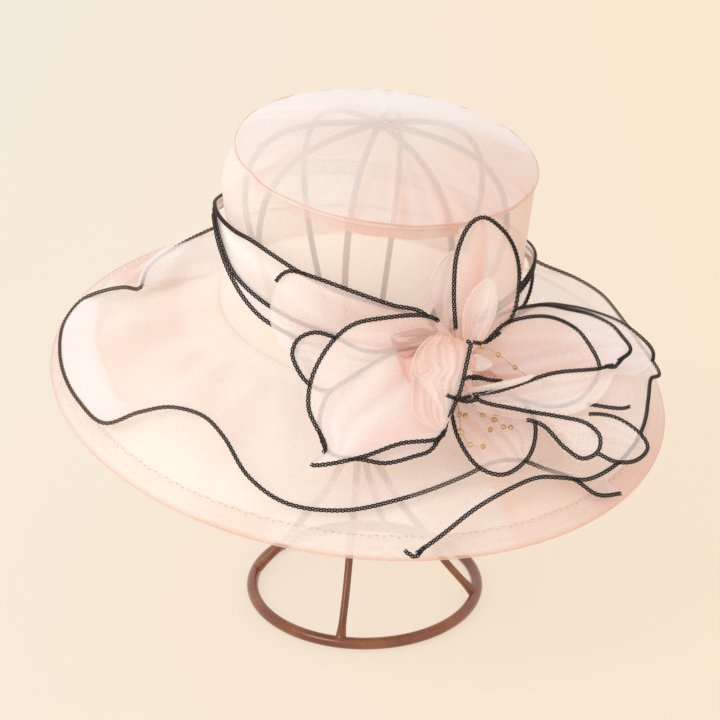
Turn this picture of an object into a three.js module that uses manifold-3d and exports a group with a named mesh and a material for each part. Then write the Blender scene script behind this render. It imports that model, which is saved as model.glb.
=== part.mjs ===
// Mesh sun hat with a corded flower, on its wire stand. Millimetres, +Z up, front of the hat at -Y.
import * as THREE from 'three';
import { mergeVertices } from 'three/addons/utils/BufferGeometryUtils.js';
import Module from 'manifold-3d';

const wasm = await Module();
wasm.setup();

// Cloth, cord, the clearance between neighbouring pieces and that of a cord on its curved edge
const CLOTH = 1.2;
const GAP = 0.35;
const CORD = 2.4;
const CORD_SIDES = 5;
const STITCH = 0.9;

// Crown, a slightly tapered tube with a domed tip
const CROWN_RADIUS = 91;
const TIP_RADIUS = 88;
const CROWN_HEIGHT = 102;
const TIP_RISE = 19;
const TIP_GATHER = 0.8;
const GATHERS = 20;
const PIPING = 2;
const CROWN_FACETS = 32;

// Brim, a cone that droops more towards its edge
const BRIM_RADIUS = 190;
const BRIM_DROP = 48;
const DROOP_POWER = 1.25;
const BINDING_WIDTH = 12;
const BRIM_FACETS = 40;

// How the hat leans on its stand, towards the viewer and towards the flower
const LEAN_FORWARD = 6.5;
const LEAN_RIGHT = 6;

// Wire stand
const RING_RADIUS = 73;
const RING_OFFSET = 3;
const RING_WIRE = 8;
const RIB_WIRE = 4;
const LEG_WIRE = 5;
const NECK_HEIGHT = 105;
const NECK_RADIUS = 7;
const NECK_LENGTH = 11;
const CAP_RADIUS = 5.6;
const BALLOON_HEIGHT = 217;
const BALLOON_RADIUS = 79;
const BALLOON_CROWN = 120;
const RIBS = 8;
const LEGS = 4;
const FIRST_RIB = -12;

// Draping: how softly a piece turns from the crown onto the brim, and how far the flower stands off
const DRAPE_ROUND = 24;
const FLOWER_LIFT = 50;
const KNOT_RADIUS = 12;
const KNOT_TURN = 24;
const KNOT_ALONG = -0.12;
const KNOT_FOOT = 0.25;
const KNOT_LIFT = 0.46;
const PEARL = 3.2;
const THREAD = 0.9;

const COLOURS = {
  organza: 0xf3d9c8,
  rose: 0xeec3ad,
  cord: 0x2a2320,
  bronze: 0x78412d,
  pearl: 0xe6cfa0,
};

const BRIM_WIDTH = BRIM_RADIUS - CROWN_RADIUS;
const rad = THREE.MathUtils.degToRad;

// Height of the brim's upper face at a radius, with the crown's foot at zero
function brimHeight(radius) {
  const share = Math.max(0, (radius - CROWN_RADIUS) / BRIM_WIDTH);
  return -BRIM_DROP * share ** DROOP_POWER;
}

// Outer radius of the crown's side at a height
function crownRadius(height) {
  const share = Math.min(1, Math.max(0, height / CROWN_HEIGHT));
  return THREE.MathUtils.lerp(CROWN_RADIUS, TIP_RADIUS, share);
}

// A point of the hat from its turn about the axis, in degrees from the front towards the right
function polar(turn, radius, height) {
  return new THREE.Vector3(radius * Math.sin(rad(turn)), -radius * Math.cos(rad(turn)), height);
}

// A point that lies over crown and brim: turn, place along the cloth as a share of the brim's
// width (negative up the crown, positive out on the brim) and stand-off in millimetres
function drape(turn, along, lift) {
  const run = along * BRIM_WIDTH;
  const bend = Math.hypot(run, DRAPE_ROUND);
  const radius = CROWN_RADIUS + lift + (run + bend) / 2;
  return polar(turn, radius, brimHeight(radius) + lift + (bend - run) / 2);
}

// A smooth line through rows of three numbers, read at a share of its length by row
function rowLine(rows) {
  return new THREE.CatmullRomCurve3(rows.map((row) => new THREE.Vector3(...row)), false, 'centripetal');
}

// A curve whose points come from a function of a share from 0 to 1
class PlacedCurve extends THREE.Curve {
  constructor(place) {
    super();
    this.place = place;
  }

  getPoint(share, target = new THREE.Vector3()) {
    return target.copy(this.place(share));
  }
}

function ngon(radius, sides) {
  const shape = new THREE.Shape();
  for (let i = 0; i < sides; i += 1) {
    const angle = (2 * Math.PI * i) / sides;
    const x = radius * Math.cos(angle);
    const y = radius * Math.sin(angle);
    if (i === 0) shape.moveTo(x, y);
    else shape.lineTo(x, y);
  }
  shape.closePath();
  return shape;
}

// A round rod along a curve, closed at both ends
function rod(curve, diameter, steps, sides = CORD_SIDES) {
  return new THREE.ExtrudeGeometry(ngon(diameter / 2, sides), {
    steps,
    extrudePath: curve,
    bevelEnabled: false,
    curveSegments: 1,
  });
}

// A wall of cloth on a middle surface: point(u, v), closed round u when asked
function wall(point, across, down, closed, thickness = CLOTH) {
  const columns = closed ? across : across + 1;
  const small = 1e-3;
  const upper = [];
  const lower = [];
  for (let j = 0; j <= down; j += 1) {
    for (let i = 0; i < columns; i += 1) {
      const u = i / across;
      const v = j / down;
      const centre = point(u, v);
      const alongU = point(u + small, v).sub(point(u - small, v));
      const alongV = point(u, v + small).sub(point(u, v - small));
      const normal = alongU.cross(alongV).normalize().multiplyScalar(thickness / 2);
      upper.push(centre.clone().add(normal));
      lower.push(centre.clone().sub(normal));
    }
  }
  const points = [...upper, ...lower];
  const shift = upper.length;
  const at = (i, j) => j * columns + (i % columns);
  const faces = [];
  const quad = (a, b, c, d) => faces.push(a, b, c, a, c, d);
  for (let j = 0; j < down; j += 1) {
    for (let i = 0; i < across; i += 1) {
      const [a, b, c, d] = [at(i, j), at(i + 1, j), at(i + 1, j + 1), at(i, j + 1)];
      quad(a, b, c, d);
      quad(c + shift, b + shift, a + shift, d + shift);
    }
  }
  for (let i = 0; i < across; i += 1) {
    quad(at(i + 1, 0), at(i, 0), at(i, 0) + shift, at(i + 1, 0) + shift);
    quad(at(i, down), at(i + 1, down), at(i + 1, down) + shift, at(i, down) + shift);
  }
  if (!closed) {
    for (let j = 0; j < down; j += 1) {
      quad(at(0, j), at(0, j + 1), at(0, j + 1) + shift, at(0, j) + shift);
      quad(at(across, j + 1), at(across, j), at(across, j) + shift, at(across, j + 1) + shift);
    }
  }
  return indexed(points, faces);
}

function indexed(points, faces) {
  const geometry = new THREE.BufferGeometry();
  geometry.setAttribute('position', new THREE.Float32BufferAttribute(points.flatMap((p) => p.toArray()), 3));
  geometry.setIndex(faces);
  return geometry;
}

// Solids for joining and cutting
function toSolid(geometry) {
  const bare = geometry.clone();
  bare.deleteAttribute('normal');
  bare.deleteAttribute('uv');
  const merged = mergeVertices(bare, 1e-4);
  return new wasm.Manifold(new wasm.Mesh({
    numProp: 3,
    vertProperties: new Float32Array(merged.attributes.position.array),
    triVerts: new Uint32Array(merged.index.array),
  }));
}

function fromSolid(solid) {
  const mesh = solid.getMesh();
  const geometry = new THREE.BufferGeometry();
  geometry.setAttribute('position', new THREE.Float32BufferAttribute(mesh.vertProperties, 3));
  geometry.setIndex(Array.from(mesh.triVerts));
  return geometry;
}

function joined(geometries) {
  return fromSolid(geometries.map(toSolid).reduce((sum, solid) => sum.add(solid)));
}

function cut(geometry, tool) {
  return fromSolid(toSolid(geometry).subtract(toSolid(tool)));
}

// A closed ring of revolution about Z from a closed outline of radius and height
function ringOf(outline, segments) {
  const closed = [...outline, outline[0]].map(([radius, height]) => new THREE.Vector2(radius, height));
  return new THREE.LatheGeometry(closed, segments).rotateX(Math.PI / 2);
}

const cloth = (colour) => new THREE.MeshStandardMaterial({ color: colour, roughness: 0.75, metalness: 0 });
const gloss = (colour) => new THREE.MeshStandardMaterial({ color: colour, roughness: 0.35, metalness: 0 });
const metal = (colour) => new THREE.MeshStandardMaterial({ color: colour, roughness: 0.3, metalness: 0.6 });

function piece(name, geometry, material) {
  const mesh = new THREE.Mesh(geometry, material);
  mesh.name = name;
  return mesh;
}

// Crown tip: a domed disc, gathered towards its seam
function crownTip() {
  const segments = CROWN_FACETS;
  const rings = [0, 0.3, 0.68, 1];
  const edge = TIP_RADIUS - CLOTH / 2;
  const dome = (edge ** 2 + TIP_RISE ** 2) / (2 * TIP_RISE);
  const face = (side) => {
    const points = [];
    for (const ring of rings) {
      for (let i = 0; i < (ring === 0 ? 1 : segments); i += 1) {
        const turn = (360 * i) / segments;
        const radius = edge * ring;
        const rise = Math.sqrt(dome ** 2 - radius ** 2) - dome + TIP_RISE;
        const gather = TIP_GATHER * ring * (1 - ring) * 4 * Math.cos(rad(turn) * GATHERS);
        points.push(polar(turn, radius, CROWN_HEIGHT + GAP + rise + side * CLOTH + gather));
      }
    }
    return points;
  };
  const under = face(0);
  const over = face(1);
  const shift = under.length;
  const faces = [];
  const at = (ring, i) => (ring === 0 ? 0 : 1 + (ring - 1) * segments + (i % segments));
  for (let i = 0; i < segments; i += 1) {
    faces.push(0, at(1, i + 1), at(1, i), shift, shift + at(1, i), shift + at(1, i + 1));
    for (let ring = 1; ring < rings.length - 1; ring += 1) {
      const [a, b, c, d] = [at(ring, i), at(ring, i + 1), at(ring + 1, i + 1), at(ring + 1, i)];
      faces.push(a, b, c, a, c, d, shift + c, shift + b, shift + a, shift + d, shift + c, shift + a);
    }
    const [a, b] = [at(rings.length - 1, i), at(rings.length - 1, i + 1)];
    faces.push(a, b, shift + b, a, shift + b, shift + a);
  }
  return indexed([...under, ...over], faces);
}

// Crown side: a tube between the brim's inner rim and the tip
function crownSide() {
  const point = (u, v) => {
    const height = THREE.MathUtils.lerp(GAP, CROWN_HEIGHT, v);
    return polar(-360 * u, crownRadius(height) - CLOTH / 2, height);
  };
  return wall(point, CROWN_FACETS, 3, true);
}

// Piping in the seam round the tip, a slim roll just outside the crown's edge
function tipPiping() {
  const middle = TIP_RADIUS + GAP + PIPING / 2;
  return new THREE.TorusGeometry(middle, PIPING / 2, 4, CROWN_FACETS).translate(0, 0, CROWN_HEIGHT);
}

// Brim sheet, from under the crown's side to just inside the binding's fold
function brimSheet() {
  const inner = CROWN_RADIUS - CLOTH;
  const outer = BRIM_RADIUS - CLOTH - GAP;
  const point = (u, v) => {
    const radius = THREE.MathUtils.lerp(inner, outer, v);
    return polar(360 * u, radius, brimHeight(radius) - CLOTH / 2);
  };
  return wall(point, BRIM_FACETS, 3, true);
}

// Binding: cloth folded over the brim's edge
function brimBinding() {
  const inner = BRIM_RADIUS - BINDING_WIDTH;
  const fold = BRIM_RADIUS - CLOTH;
  const over = GAP;
  const under = -CLOTH - GAP;
  const row = (radius, offset) => [radius, brimHeight(radius) + offset];
  return ringOf([
    row(inner, over),
    row(fold, over),
    row(fold, under),
    row(inner, under),
    row(inner, under - CLOTH),
    row(BRIM_RADIUS, under - CLOTH * 0.4),
    row(BRIM_RADIUS, over + CLOTH * 0.4),
    row(inner, over + CLOTH),
  ], BRIM_FACETS);
}

// A cord lies on the upper face of the cloth, along its edge
const CORD_SEAT = (CLOTH + CORD) / 2 + STITCH;

// Ruffle: one strip laid round the brim and over its own start. Each row is a place of the cord on
// its outer edge: turn in degrees, radius as a share of the brim's, height over the brim as a share
// of the ruffle's fullness
const RUFFLE_LIFT = 16;
const RUFFLE_GAP = 8;
const RUFFLE_ROWS = [
  [52, 1, 0.4], [47, 0.97, 0.41], [44, 0.9, 0.42], [39, 0.845, 0.44], [35, 0.805, 0.46], [29, 0.79, 0.46],
  [20, 0.815, 0.44], [7, 0.865, 0.44], [-4, 0.91, 0.47], [-14, 0.92, 0.52], [-22, 0.885, 0.58],
  [-31, 0.81, 0.66], [-38, 0.785, 0.7], [-46, 0.81, 0.68], [-51, 0.87, 0.62], [-55, 0.95, 0.56],
  [-64, 0.966, 0.56], [-82, 0.972, 0.56], [-93, 0.967, 0.58], [-99, 0.935, 0.62], [-99, 0.87, 0.7],
  [-96, 0.79, 0.76], [-98, 0.74, 0.8], [-106, 0.72, 0.86], [-117, 0.69, 0.88], [-130, 0.66, 0.9],
  [-147, 0.68, 0.9], [-163, 0.72, 0.86], [-180, 0.74, 0.9], [-200, 0.72, 0.9], [-218, 0.68, 0.96],
  [-237, 0.69, 1.06], [-242, 0.81, 1.2], [-247, 0.87, 1.24], [-254, 0.89, 1.12], [-262, 0.93, 0.92],
  [-269, 0.975, 0.84], [-274, 0.935, 0.84], [-282, 0.928, 0.84], [-290, 0.938, 0.84], [-298, 0.947, 0.84],
  [-307, 0.95, 0.84], [-315, 0.94, 0.84], [-320, 0.91, 0.88], [-325, 0.887, 0.88], [-332, 0.895, 0.86],
  [-340, 0.93, 0.84], [-349, 1.01, 0.84], [-351.5, 1.035, 0.84],
];
const RUFFLE_STEPS = 63;
const RUFFLE_FOLLOW = 0.7;

// A row of the ruffle's edge at a share of its length: turn, radius and lift in millimetres
function ruffleEdge(share) {
  const line = rowLine(RUFFLE_ROWS.map(([turn, radius, lift]) => [turn, radius * 100, lift * 10]));
  const row = line.getPoint(share);
  return { turn: row.x, radius: (row.y / 100) * BRIM_RADIUS, lift: (row.z / 10) * RUFFLE_LIFT };
}

const ruffleShares = Array.from({ length: RUFFLE_STEPS + 1 }, (_, i) => ruffleEdge(i / RUFFLE_STEPS));

function ruffleAt(share) {
  const place = THREE.MathUtils.clamp(share, 0, 1) * RUFFLE_STEPS;
  const low = Math.min(RUFFLE_STEPS - 1, Math.floor(place));
  const mix = place - low;
  const [a, b] = [ruffleShares[low], ruffleShares[low + 1]];
  const blend = (key) => THREE.MathUtils.lerp(a[key], b[key], mix);
  return { turn: blend('turn'), radius: blend('radius'), lift: blend('lift') };
}

function ruffle() {
  const startTurn = RUFFLE_ROWS[0][0];
  const point = (u, v) => {
    const edge = ruffleAt(u);
    const laps = THREE.MathUtils.clamp((startTurn - edge.turn - 180) / 180, 0, 1);
    const innerRadius = CROWN_RADIUS + DRAPE_ROUND / 4;
    const innerLift = CLOTH + GAP + laps * RUFFLE_GAP;
    const edgeLift = edge.lift - CORD_SEAT - STITCH;
    const evenTurn = THREE.MathUtils.lerp(startTurn, RUFFLE_ROWS.at(-1)[0], THREE.MathUtils.clamp(u, 0, 1));
    const innerTurn = THREE.MathUtils.lerp(evenTurn, edge.turn, RUFFLE_FOLLOW);
    const turn = THREE.MathUtils.lerp(innerTurn, edge.turn, v);
    const radius = THREE.MathUtils.lerp(innerRadius, edge.radius, v);
    return polar(turn, radius, brimHeight(radius) + THREE.MathUtils.lerp(innerLift, edgeLift, v));
  };
  return wall(point, RUFFLE_STEPS, 2, false);
}

function ruffleCord() {
  const curve = new PlacedCurve((share) => {
    const edge = ruffleAt(share);
    return polar(edge.turn, edge.radius, brimHeight(edge.radius) + edge.lift);
  });
  return rod(curve, CORD, RUFFLE_STEPS);
}

// Sash round the crown. Each row gives the turn, the heights of the upper, middle and lower cord as
// shares of the crown's height, and how far the band stands off as a share of its fullness
const SASH_LIFT = 5;
const SASH_ROWS = [
  [26, 0.42, 0.36, 0.15, 0.1],
  [45, 0.43, 0.39, 0.2, 0.1],
  [58, 0.46, 0.42, 0.24, 0.2],
  [70, 0.5, 0.46, 0.31, 0.5],
  [82, 0.5, 0.46, 0.36, 0.6],
  [95, 0.43, 0.39, 0.34, 0.5],
  [110, 0.4, 0.36, 0.32, 0.4],
  [145, 0.42, 0.38, 0.34, 0.3],
  [185, 0.48, 0.44, 0.4, 0.4],
  [225, 0.52, 0.48, 0.44, 0.3],
  [255, 0.54, 0.5, 0.46, 0.6],
  [266, 0.57, 0.53, 0.49, 0.9],
  [277, 0.61, 0.57, 0.53, 0.9],
  [290, 0.64, 0.5, 0.46, 0.8],
  [300, 0.66, 0.42, 0.38, 0.7],
  [309, 0.68, 0.385, 0.31, 0.6],
  [318, 0.67, 0.36, 0.26, 0.5],
  [330, 0.63, 0.33, 0.23, 0.3],
  [344, 0.58, 0.31, 0.2, 0.2],
  [364, 0.52, 0.28, 0.17, 0.1],
  [382, 0.43, 0.26, 0.13, 0.1],
];
const SASH_STEPS = 36;
const SASH_EDGES = { upper: 1, middle: 2, lower: 3 };

// A row of the sash at a share of its turn, smoothly blended from the rows on either side
function sashRow(share) {
  const last = SASH_ROWS.length - 1;
  const turn = THREE.MathUtils.lerp(SASH_ROWS[0][0], SASH_ROWS[last][0], THREE.MathUtils.clamp(share, 0, 1));
  const low = THREE.MathUtils.clamp(SASH_ROWS.findIndex((row) => row[0] > turn) - 1, 0, last - 1);
  const start = turn >= SASH_ROWS[last][0] ? last - 1 : low;
  const t = (turn - SASH_ROWS[start][0]) / (SASH_ROWS[start + 1][0] - SASH_ROWS[start][0]);
  const near = [start - 1, start, start + 1, start + 2];
  const rows = near.map((i) => SASH_ROWS[THREE.MathUtils.clamp(i, 0, last)]);
  const mixed = rows[1].map((_, k) => {
    const [a, b, c, d] = rows.map((row) => row[k]);
    return 0.5 * (2 * b + (c - a) * t + (2 * a - 5 * b + 4 * c - d) * t * t + (3 * b - a - 3 * c + d) * t ** 3);
  });
  return [turn, ...mixed.slice(1)];
}

function sashPoint(share, height, seat) {
  const row = sashRow(share);
  const level = height * CROWN_HEIGHT;
  return polar(row[0], crownRadius(level) + GAP + CLOTH / 2 + row[4] * SASH_LIFT + seat, level);
}

function sash() {
  const point = (u, v) => {
    const row = sashRow(u);
    return sashPoint(u, THREE.MathUtils.lerp(row[1], row[3], v), 0);
  };
  return wall(point, SASH_STEPS, 2, false);
}

function sashCord(edge) {
  const column = SASH_EDGES[edge];
  const curve = new PlacedCurve((share) => sashPoint(share, sashRow(share)[column], CORD_SEAT));
  return rod(curve, CORD, SASH_STEPS);
}

// Flower. A petal is a sheet inside an outline of rows that runs from its root by its tip back to
// its root: turn in degrees, place along the cloth, and lift as a share of the flower's. tip is the
// row where it turns back, cords the first and last row of each cord, and cup its hollow in
// millimetres
const PETALS = {
  upright: {
    tip: 5,
    cords: [[1, 9.7]],
    cup: 0,
    rows: [
      [24, -0.15, 0.32], [22.5, -0.35, 0.34], [20, -0.6, 0.38], [19, -0.86, 0.42], [21.5, -1.02, 0.44],
      [25, -1.05, 0.44], [32.5, -0.94, 0.44], [39, -0.76, 0.42], [42, -0.58, 0.4], [41.5, -0.36, 0.38],
      [34, -0.23, 0.36], [28, -0.14, 0.34],
    ],
  },
  upright_back: {
    tip: 5,
    cords: [],
    cup: 0,
    rows: [
      [23, -0.14, 0.2], [19, -0.42, 0.21], [14, -0.6, 0.23], [14.5, -0.73, 0.26], [17, -0.83, 0.28],
      [21, -0.86, 0.28], [27, -0.77, 0.27], [31, -0.5, 0.24], [29, -0.3, 0.22], [26, -0.14, 0.2],
    ],
  },
  left_upper: {
    tip: 6,
    cords: [[0, 6]],
    cup: 0,
    rows: [
      [23, -0.17, 0.2], [13.5, -0.47, 0.2], [3.5, -0.52, 0.21], [-7, -0.57, 0.23], [-20, -0.61, 0.25],
      [-29, -0.6, 0.26], [-33, -0.5, 0.27], [-33.5, -0.32, 0.28], [-31.5, -0.19, 0.27],
      [-25, -0.08, 0.24], [-10, -0.15, 0.21], [23, -0.12, 0.2],
    ],
  },
  left_small: {
    tip: 6,
    cords: [[1, 10]],
    cup: 0,
    rows: [
      [23, -0.15, 0.28], [12, -0.24, 0.29], [-3, -0.21, 0.31], [-11, -0.26, 0.33], [-17.5, -0.27, 0.35],
      [-22, -0.2, 0.36], [-23, -0.1, 0.36], [-20, 0, 0.36], [-16.5, 0.06, 0.35], [-11.5, 0.08, 0.34],
      [-2, -0.06, 0.31], [23, -0.12, 0.28],
    ],
  },
  left_under: {
    tip: 7,
    cords: [[1, 13]],
    cup: 0,
    rows: [
      [23, -0.16, 0.38], [11.5, -0.24, 0.38], [4.5, -0.21, 0.39], [-6, -0.03, 0.42], [-10.5, 0.08, 0.44],
      [-11.5, 0.19, 0.45], [-10.5, 0.32, 0.46], [-7.5, 0.42, 0.48], [-1, 0.43, 0.5], [3, 0.44, 0.5],
      [9, 0.4, 0.48], [12.5, 0.37, 0.47], [17, 0.23, 0.44], [21, 0.06, 0.4], [23, -0.08, 0.38],
    ],
  },
  left_front: {
    tip: 9,
    cords: [[1, 8.2], [9, 14.6]],
    cup: 3,
    rows: [
      [23.5, -0.21, 0.48], [15.5, -0.42, 0.48], [10.5, -0.46, 0.49], [0, -0.43, 0.5], [-7, -0.37, 0.52],
      [-12, -0.23, 0.54], [-15, -0.01, 0.56], [-14, 0.18, 0.58], [-8.5, 0.39, 0.62], [-10.5, 0.48, 0.64],
      [-2, 0.41, 0.62], [6, 0.32, 0.6], [14.5, 0.29, 0.58], [16.5, 0.21, 0.56], [20, 0.06, 0.5],
      [24, -0.12, 0.43], [24, -0.17, 0.43],
    ],
  },
  right_back: {
    tip: 7,
    cords: [[2, 7]],
    cup: 0,
    rows: [
      [25, -0.13, 0.24], [35, -0.2, 0.18], [42.5, -0.29, 0.18], [60.5, -0.29, 0.24], [87, 0.06, 0.36],
      [90.5, 0.3, 0.52], [87, 0.4, 0.62], [82, 0.46, 0.69], [72.5, 0.43, 0.64], [65.5, 0.31, 0.48],
      [56, 0.2, 0.3], [41, -0.03, 0.18], [25, -0.09, 0.24],
    ],
  },
  right_tail: {
    tip: 1,
    cords: [[0, 1]],
    cup: 0,
    rows: [[54.5, 0.37, 0.46], [62.5, 0.5, 0.58], [70, 0.42, 0.56], [65, 0.31, 0.41]],
  },
  right_long: {
    tip: 7,
    cords: [[1, 7.8]],
    cup: 0,
    rows: [
      [26, -0.14, 0.28], [38, -0.37, 0.275], [55, -0.33, 0.34], [70, -0.14, 0.46], [79, 0.04, 0.56],
      [80.5, 0.17, 0.64], [77.5, 0.23, 0.7], [73, 0.26, 0.78], [63.5, 0.22, 0.78], [54.5, 0.29, 0.66],
      [46.5, 0.28, 0.5], [38, 0.15, 0.38], [26, -0.1, 0.29],
    ],
  },
  right_inner: {
    tip: 5,
    cords: [[1, 9]],
    cup: 0,
    rows: [
      [26, -0.15, 0.42], [31, -0.24, 0.44], [37.5, -0.33, 0.46], [51.5, -0.27, 0.54], [62.5, -0.04, 0.66],
      [60, 0.15, 0.76], [57, 0.21, 0.74], [50, 0.28, 0.64], [44, 0.27, 0.54], [35, 0.13, 0.46],
      [26, -0.09, 0.4],
    ],
  },
  right_veil: {
    tip: 5,
    cords: [[1, 5]],
    cup: 0,
    rows: [
      [23.4, -0.08, 0.59], [22.2, 0.05, 0.57], [28.5, 0.07, 0.6], [44, 0.05, 0.76], [55.5, 0.14, 0.88],
      [60.5, 0.19, 0.88], [53.5, 0.3, 0.78], [42.5, 0.31, 0.66], [33.5, 0.19, 0.59], [20.5, 0.09, 0.58],
      [21.7, -0.06, 0.59],
    ],
  },
  right_lower: {
    tip: 5,
    cords: [[1, 9.4]],
    cup: 0,
    rows: [
      [23.4, -0.06, 0.66], [23.2, 0.07, 0.67], [32.5, 0.19, 0.7], [40.5, 0.29, 0.74], [45.5, 0.38, 0.76],
      [46.5, 0.47, 0.76], [44, 0.54, 0.74], [40.5, 0.54, 0.72], [38.5, 0.46, 0.7], [36, 0.3, 0.7],
      [28.6, 0.21, 0.68], [21.3, 0.12, 0.66], [22.4, -0.05, 0.66],
    ],
  },
  round: {
    tip: 6,
    cords: [[1, 10.5]],
    cup: 0,
    rows: [
      [25, -0.1, 0.26], [27, -0.02, 0.23], [33.5, 0.02, 0.24], [40, 0.15, 0.28], [40.5, 0.31, 0.34],
      [36.5, 0.43, 0.4], [32, 0.51, 0.42], [26, 0.55, 0.42], [22, 0.49, 0.4], [20, 0.33, 0.34],
      [20.5, 0.2, 0.28], [22, -0.08, 0.26],
    ],
  },
  right_far: {
    tip: 4,
    cords: [[1, 7]],
    cup: 0,
    rows: [
      [38, 0.33, 0.68], [50, 0.38, 0.61], [57, 0.5, 0.56], [59.5, 0.65, 0.54], [58.5, 0.72, 0.54],
      [54, 0.73, 0.54], [49, 0.67, 0.56], [46, 0.58, 0.59], [39.5, 0.43, 0.69],
    ],
  },
  heart_left: {
    tip: 3,
    cords: [],
    cup: 3,
    rows: [
      [23, -0.16, 0.56], [14.5, -0.31, 0.6], [11.5, -0.24, 0.64], [9, -0.14, 0.66], [11, -0.05, 0.66],
      [16, -0.06, 0.62], [23, -0.12, 0.58],
    ],
  },
  heart_front: {
    tip: 3,
    cords: [],
    cup: 3,
    rows: [
      [23, -0.16, 0.66], [16.5, -0.3, 0.72], [13.5, -0.24, 0.76], [12, -0.11, 0.76], [14.5, 0.02, 0.74],
      [19, 0.03, 0.7], [24, -0.1, 0.66],
    ],
  },
  heart_right: {
    tip: 3,
    cords: [],
    cup: 1,
    rows: [
      [23, -0.14, 0.56], [25.5, -0.18, 0.58], [28, -0.15, 0.6], [30, -0.1, 0.6], [27, -0.07, 0.58],
      [23, -0.1, 0.56],
    ],
  },
  heart_up: {
    tip: 3,
    cords: [],
    cup: 2,
    rows: [
      [24, -0.17, 0.48], [22, -0.49, 0.52], [24, -0.61, 0.54], [28.5, -0.66, 0.54], [32, -0.5, 0.52],
      [31, -0.35, 0.5], [26, -0.17, 0.48],
    ],
  },
};
const UNROLL_RADIUS = 120;
const PETAL_END = 0.985;
const CUP_SEAT = 0.15;
const PETAL_STEPS = 6;
const CORD_STEPS_A_ROW = 1.5;

// A smooth line through rows of turn, place and lift, laid out in millimetres, then draped back
function drapedLine(rows) {
  const flat = rows.map(([turn, along, lift]) => [
    rad(turn) * UNROLL_RADIUS,
    along * BRIM_WIDTH,
    lift * FLOWER_LIFT,
  ]);
  const line = rowLine(flat);
  return (row) => line.getPoint(THREE.MathUtils.clamp(row / (rows.length - 1), 0, 1));
}

function drapeFlat(flat, seat = 0) {
  const turn = THREE.MathUtils.radToDeg(flat.x / UNROLL_RADIUS);
  return drape(turn, flat.y / BRIM_WIDTH, flat.z + seat);
}

function petalSheet({ rows, tip, cup }) {
  const line = drapedLine(rows);
  const last = rows.length - 1;
  const point = (u, v) => {
    const share = v * PETAL_END;
    const flat = line(share * tip).lerp(line(last - share * (last - tip)), u);
    flat.z += cup * 4 * u * (1 - u) * Math.sin(Math.PI * v);
    return drapeFlat(flat, -CORD_SEAT - cup * CUP_SEAT);
  };
  return wall(point, cup > 0 ? 3 : 2, PETAL_STEPS, false);
}

function petalCord({ rows }, [first, final]) {
  const line = drapedLine(rows);
  const curve = new PlacedCurve((share) => drapeFlat(line(THREE.MathUtils.lerp(first, final, share))));
  const steps = Math.max(PETAL_STEPS + 2, Math.round((final - first) * CORD_STEPS_A_ROW));
  return rod(curve, CORD, steps);
}

// Knot on the crown that ties the sash and the petals' roots; grown by the clearance it trims them
function knot(grow = 0) {
  const ball = new THREE.SphereGeometry(1, 10, 7);
  const height = KNOT_LIFT * FLOWER_LIFT;
  const footHeight = KNOT_FOOT * CROWN_HEIGHT;
  const foot = polar(KNOT_TURN, crownRadius(footHeight) + GAP, footHeight);
  const head = drape(KNOT_TURN, KNOT_ALONG, height * 1.6);
  const axis = head.clone().sub(foot);
  ball.rotateX(Math.PI / 2);
  ball.scale(KNOT_RADIUS + grow, KNOT_RADIUS + grow, axis.length() / 2 + grow);
  ball.applyQuaternion(new THREE.Quaternion().setFromUnitVectors(new THREE.Vector3(0, 0, 1), axis.clone().normalize()));
  const middle = foot.add(head).multiplyScalar(0.5);
  return ball.translate(middle.x, middle.y, middle.z);
}

// Pearl stamens: threads from the knot with pearls on them, by rows like a petal's
const STAMENS = [
  [[24, -0.14, 0.52], [28, -0.2, 0.54], [33, -0.13, 0.56], [37, -0.03, 0.6], [40.5, 0.07, 0.6]],
  [[24, -0.08, 0.4], [25.5, 0.16, 0.42], [26.5, 0.21, 0.43], [29, 0.25, 0.44], [30.5, 0.3, 0.44], [32, 0.31, 0.46]],
  [[23, -0.08, 0.36], [21.5, 0.19, 0.38], [20.8, 0.29, 0.42], [21.8, 0.35, 0.46], [24, 0.37, 0.46]],
];

function stamen(rows) {
  const line = drapedLine(rows);
  const last = rows.length - 1;
  const thread = rod(new PlacedCurve((share) => drapeFlat(line(share * last))), THREAD, last * 2, 3);
  const pearls = rows.slice(1).map((_, i) => {
    const middle = drapeFlat(line(i + 1));
    return new THREE.SphereGeometry(PEARL / 2, 8, 4).translate(middle.x, middle.y, middle.z);
  });
  return joined([thread, ...pearls]);
}

function flower(room) {
  const parts = [piece('flower_knot', knot(), cloth(COLOURS.rose))];
  for (const [name, petal] of Object.entries(PETALS)) {
    parts.push(piece(`petal_${name}`, cut(petalSheet(petal), room), cloth(COLOURS.organza)));
    petal.cords.forEach((rows, i) => {
      const geometry = cut(petalCord(petal, rows), room);
      parts.push(piece(`petal_${name}_cord_${i + 1}`, geometry, gloss(COLOURS.cord)));
    });
  }
  STAMENS.forEach((rows, i) => {
    parts.push(piece(`pearl_stamen_${i + 1}`, cut(stamen(rows), room), gloss(COLOURS.pearl)));
  });
  return parts;
}

// Stand. Rows of radius and height as shares of the balloon's, and of the ring's and the neck's
const RIB_ROWS = [
  [0.07, 0],
  [0.35, 0.18],
  [0.63, 0.37],
  [0.88, 0.55],
  [1, 0.72],
  [0.95, 0.84],
  [0.78, 0.92],
  [0.5, 0.968],
  [0, 1],
];
const LEG_ROWS = [
  [0.05, 1],
  [0.2, 0.81],
  [0.34, 0.63],
  [0.5, 0.485],
  [0.72, 0.26],
  [1, 0.035],
];
const RIB_STEPS = 9;
const LEG_STEPS = 6;
const WIRE_SIDES = 4;
const balloonLean = new THREE.Euler(rad(LEAN_FORWARD / 2), rad(LEAN_RIGHT / 2), 0);

function onBalloon(point) {
  return point.applyEuler(balloonLean).add(new THREE.Vector3(0, 0, NECK_HEIGHT));
}

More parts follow.
